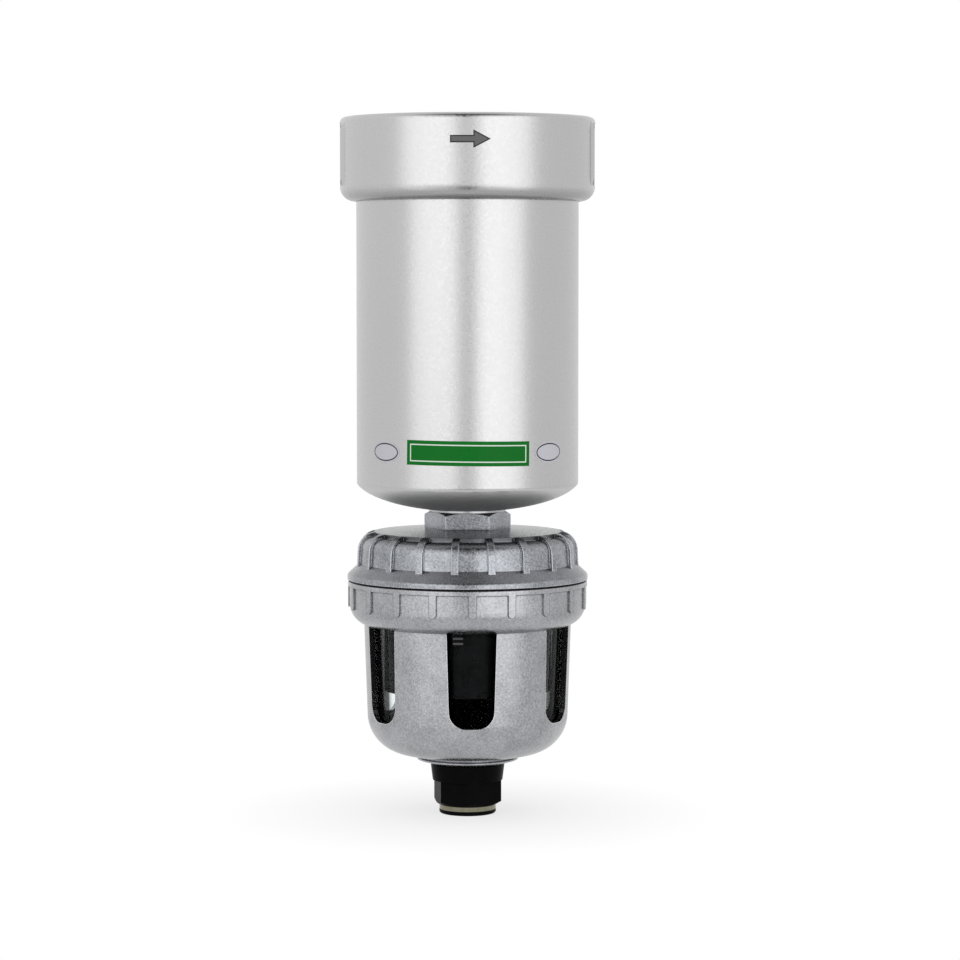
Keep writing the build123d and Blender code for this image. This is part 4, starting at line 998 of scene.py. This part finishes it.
class FILTER_OT_studio(bpy.types.Operator):
    """Sets up the floor, the soft lights, the room's light and the camera"""
    bl_idname = "air_filter.studio"
    bl_label = "Studio"

    def execute(self, context):
        size = context.scene.air_filter.studio
        self.make_floor(size)
        self.make_lights(size)
        context.scene.world = self.make_room(size)
        context.scene.camera = self.make_camera(size)
        context.scene.view_settings.view_transform = "Standard"
        return {"FINISHED"}

    def make_floor(self, size):
        mesh = bpy.data.meshes.new("studio_floor")
        plate = bmesh.new()
        bmesh.ops.create_circle(plate, cap_ends=True, radius=12.0, segments=64)
        plate.to_mesh(mesh)
        plate.free()
        mesh.materials.append(self.floor_material(size))
        floor = placed("studio_floor", mesh)
        floor.location.z = CAD_BOX[0].z - HAIR

    def floor_material(self, size):
        """White some way off, shaded under the filter, and see-through from below.

        Metal sees it white near by and far off, and as a dull mirror in between.
        """
        pale = Finish("studio_floor", size.floor, 0.9)
        pale.set("Specular IOR Level", 0.0)
        away = pale.vector("LENGTH", "Value", pale.place)
        from_camera = pale.light_path("Is Camera Ray")
        from_metal = pale.light_path("Is Glossy Ray")
        seen = pale.reckon("MAXIMUM", from_camera, pale.light_path("Is Transmission Ray"))
        ring = pale.ramp(away, size.ring_start, size.ring_end)
        far = pale.spread(away, size.floor_veil, 1.0, size.floor_foot, size.floor_reach)
        near = pale.reckon("MULTIPLY", far, pale.ramp(away, size.ring_end, size.ring_start))
        distant = pale.ramp(away, size.mirror_start, size.floor_mirror)
        mirrored = pale.reckon("MULTIPLY", pale.reckon("MAXIMUM", near, distant), from_metal)
        white = pale.reckon("MAXIMUM", pale.reckon("MULTIPLY", far, seen), mirrored)

        def blend(factor, first, second):
            return pale.node("ShaderNodeMixShader", "Shader", {"Fac": factor, 1: first, 2: second})

        polish = pale.node("ShaderNodeBsdfGlossy", "BSDF",
                           {"Color": (0.95, 0.95, 0.95, 1.0), "Roughness": 0.08})
        polished = pale.reckon("MULTIPLY", ring, from_metal)
        floor = blend(polished, pale.shader.outputs["BSDF"], polish)
        floor = blend(white, floor, pale.node("ShaderNodeEmission", "Emission"))
        from_below = pale.reckon("MULTIPLY", pale.facing("Backfacing"), from_camera)
        floor = blend(from_below, floor, pale.node("ShaderNodeBsdfTransparent", "BSDF"))
        pale.join(floor, "Material Output", "Surface")
        return pale.material

    def make_lights(self, size):
        for name, angle, foot, power in (
                ("soft_light_left", -size.box_angle, size.left_foot, size.left_power),
                ("soft_light_right", size.box_angle, size.right_foot, size.right_power)):
            light = bpy.data.lights.new(name, "AREA")
            light.shape = "RECTANGLE"
            light.size = size.box_width
            light.size_y = size.box_height
            light.energy = power
            light.use_nodes = True
            wires = Wiring(light.node_tree)
            across = wires.along(wires.node("ShaderNodeNewGeometry", "Parametric"), "X")
            ends = (size.box_fade, 1.0) if angle < 0 else (1.0, size.box_fade)
            wires.join(wires.spread(across, *ends), "Emission", "Strength")
            lamp = placed(name, light)
            outward = Vector((math.sin(angle), -math.cos(angle), 0.0))
            lamp.location = outward * size.box_distance
            lamp.location.z = CAD_BOX[0].z + foot + size.box_height / 2
            lamp.rotation_euler = outward.to_track_quat("Z", "Y").to_euler()

    def make_room(self, size):
        """White to the camera, plain to dull surfaces, and shaded over the camera to metal."""
        room = bpy.data.worlds.new("studio_room")
        room.use_nodes = True
        wires = Wiring(room.node_tree)

        def either(factor, first, second):
            return wires.node("ShaderNodeMix", "Result",
                              {"Factor": factor, "A": first, "B": second})

        place = wires.node("ShaderNodeTexCoord", "Generated")
        middle = (0.0, -math.cos(size.shade_rise), math.sin(size.shade_rise))
        shade = wires.spread(wires.vector("DOT_PRODUCT", "Value", place, middle), 1.0, size.shade,
                             math.cos(size.shade_outer), math.cos(size.shade_inner),
                             interpolation_type="SMOOTHSTEP")
        sides = wires.spread(wires.along(place, "X"), 1.0 + size.side / 2, 1.0 - size.side / 2,
                             -1.0, 1.0, interpolation_type="SMOOTHSTEP")
        mirrored = wires.reckon("MAXIMUM", wires.light_path("Is Glossy Ray"),
                                wires.light_path("Is Transmission Ray"))
        strength = either(mirrored, size.fill, wires.reckon("MULTIPLY", shade, sides))
        strength = either(wires.light_path("Is Camera Ray"), strength, 1.0)
        wires.join(strength, "Background", "Strength")
        room.node_tree.nodes["Background"].inputs["Color"].default_value = (1.0, 1.0, 1.0, 1.0)
        return room

    def make_camera(self, size):
        lens = bpy.data.cameras.new("studio_camera")
        lens.lens = size.lens
        camera = placed("studio_camera", lens)
        camera.location = (size.camera_side, -size.distance, CAD_BOX[0].z + size.camera_height)
        camera.rotation_euler = Euler((math.pi / 2 - size.pitch, 0.0, 0.0))
        return camera


# ---- add-on


OPERATORS = (
    FILTER_OT_satin_metal, FILTER_OT_head, FILTER_OT_castings, FILTER_OT_fittings,
    FILTER_OT_piston_coil, FILTER_OT_mouldings, FILTER_OT_soft_parts, FILTER_OT_clear_bowl,
    FILTER_OT_green_label, FILTER_OT_oval_stickers, FILTER_OT_flow_arrow, FILTER_OT_level_marks,
    FILTER_OT_threads, FILTER_OT_studio,
)


def own_names(group):
    """The names of the settings that a group defines itself."""
    return [name for name in group.bl_rna.properties.keys() if name not in ("rna_type", "name")]


class FILTER_PT_panel(bpy.types.Panel):
    """Buttons and sizes for the air filter"""
    bl_idname = "FILTER_PT_panel"
    bl_label = "Air Filter"
    bl_space_type = "VIEW_3D"
    bl_region_type = "UI"
    bl_category = "Air Filter"

    def draw(self, context):
        for operator in OPERATORS:
            self.layout.operator(operator.bl_idname)
        settings = context.scene.air_filter
        for group in own_names(settings):
            values = getattr(settings, group)
            box = self.layout.box()
            box.label(text=values.bl_rna.description)
            for value in own_names(values):
                box.prop(values, value)


CLASSES = (
    SatinMetalFinish, CastingFinish, HeadSizes, PlasticFinish, LabelSizes, ArrowSizes, MarkSizes,
    ThreadSizes, StudioSizes, AirFilterSettings, *OPERATORS, FILTER_PT_panel,
)


def register():
    for item in CLASSES:
        bpy.utils.register_class(item)
    bpy.types.Scene.air_filter = PointerProperty(type=AirFilterSettings)


def unregister():
    del bpy.types.Scene.air_filter
    for item in reversed(CLASSES):
        bpy.utils.unregister_class(item)


def main():
    register()
    for operator in OPERATORS:
        group, action = operator.bl_idname.split(".")
        getattr(getattr(bpy.ops, group), action)()


if __name__ == "__main__":
    main()
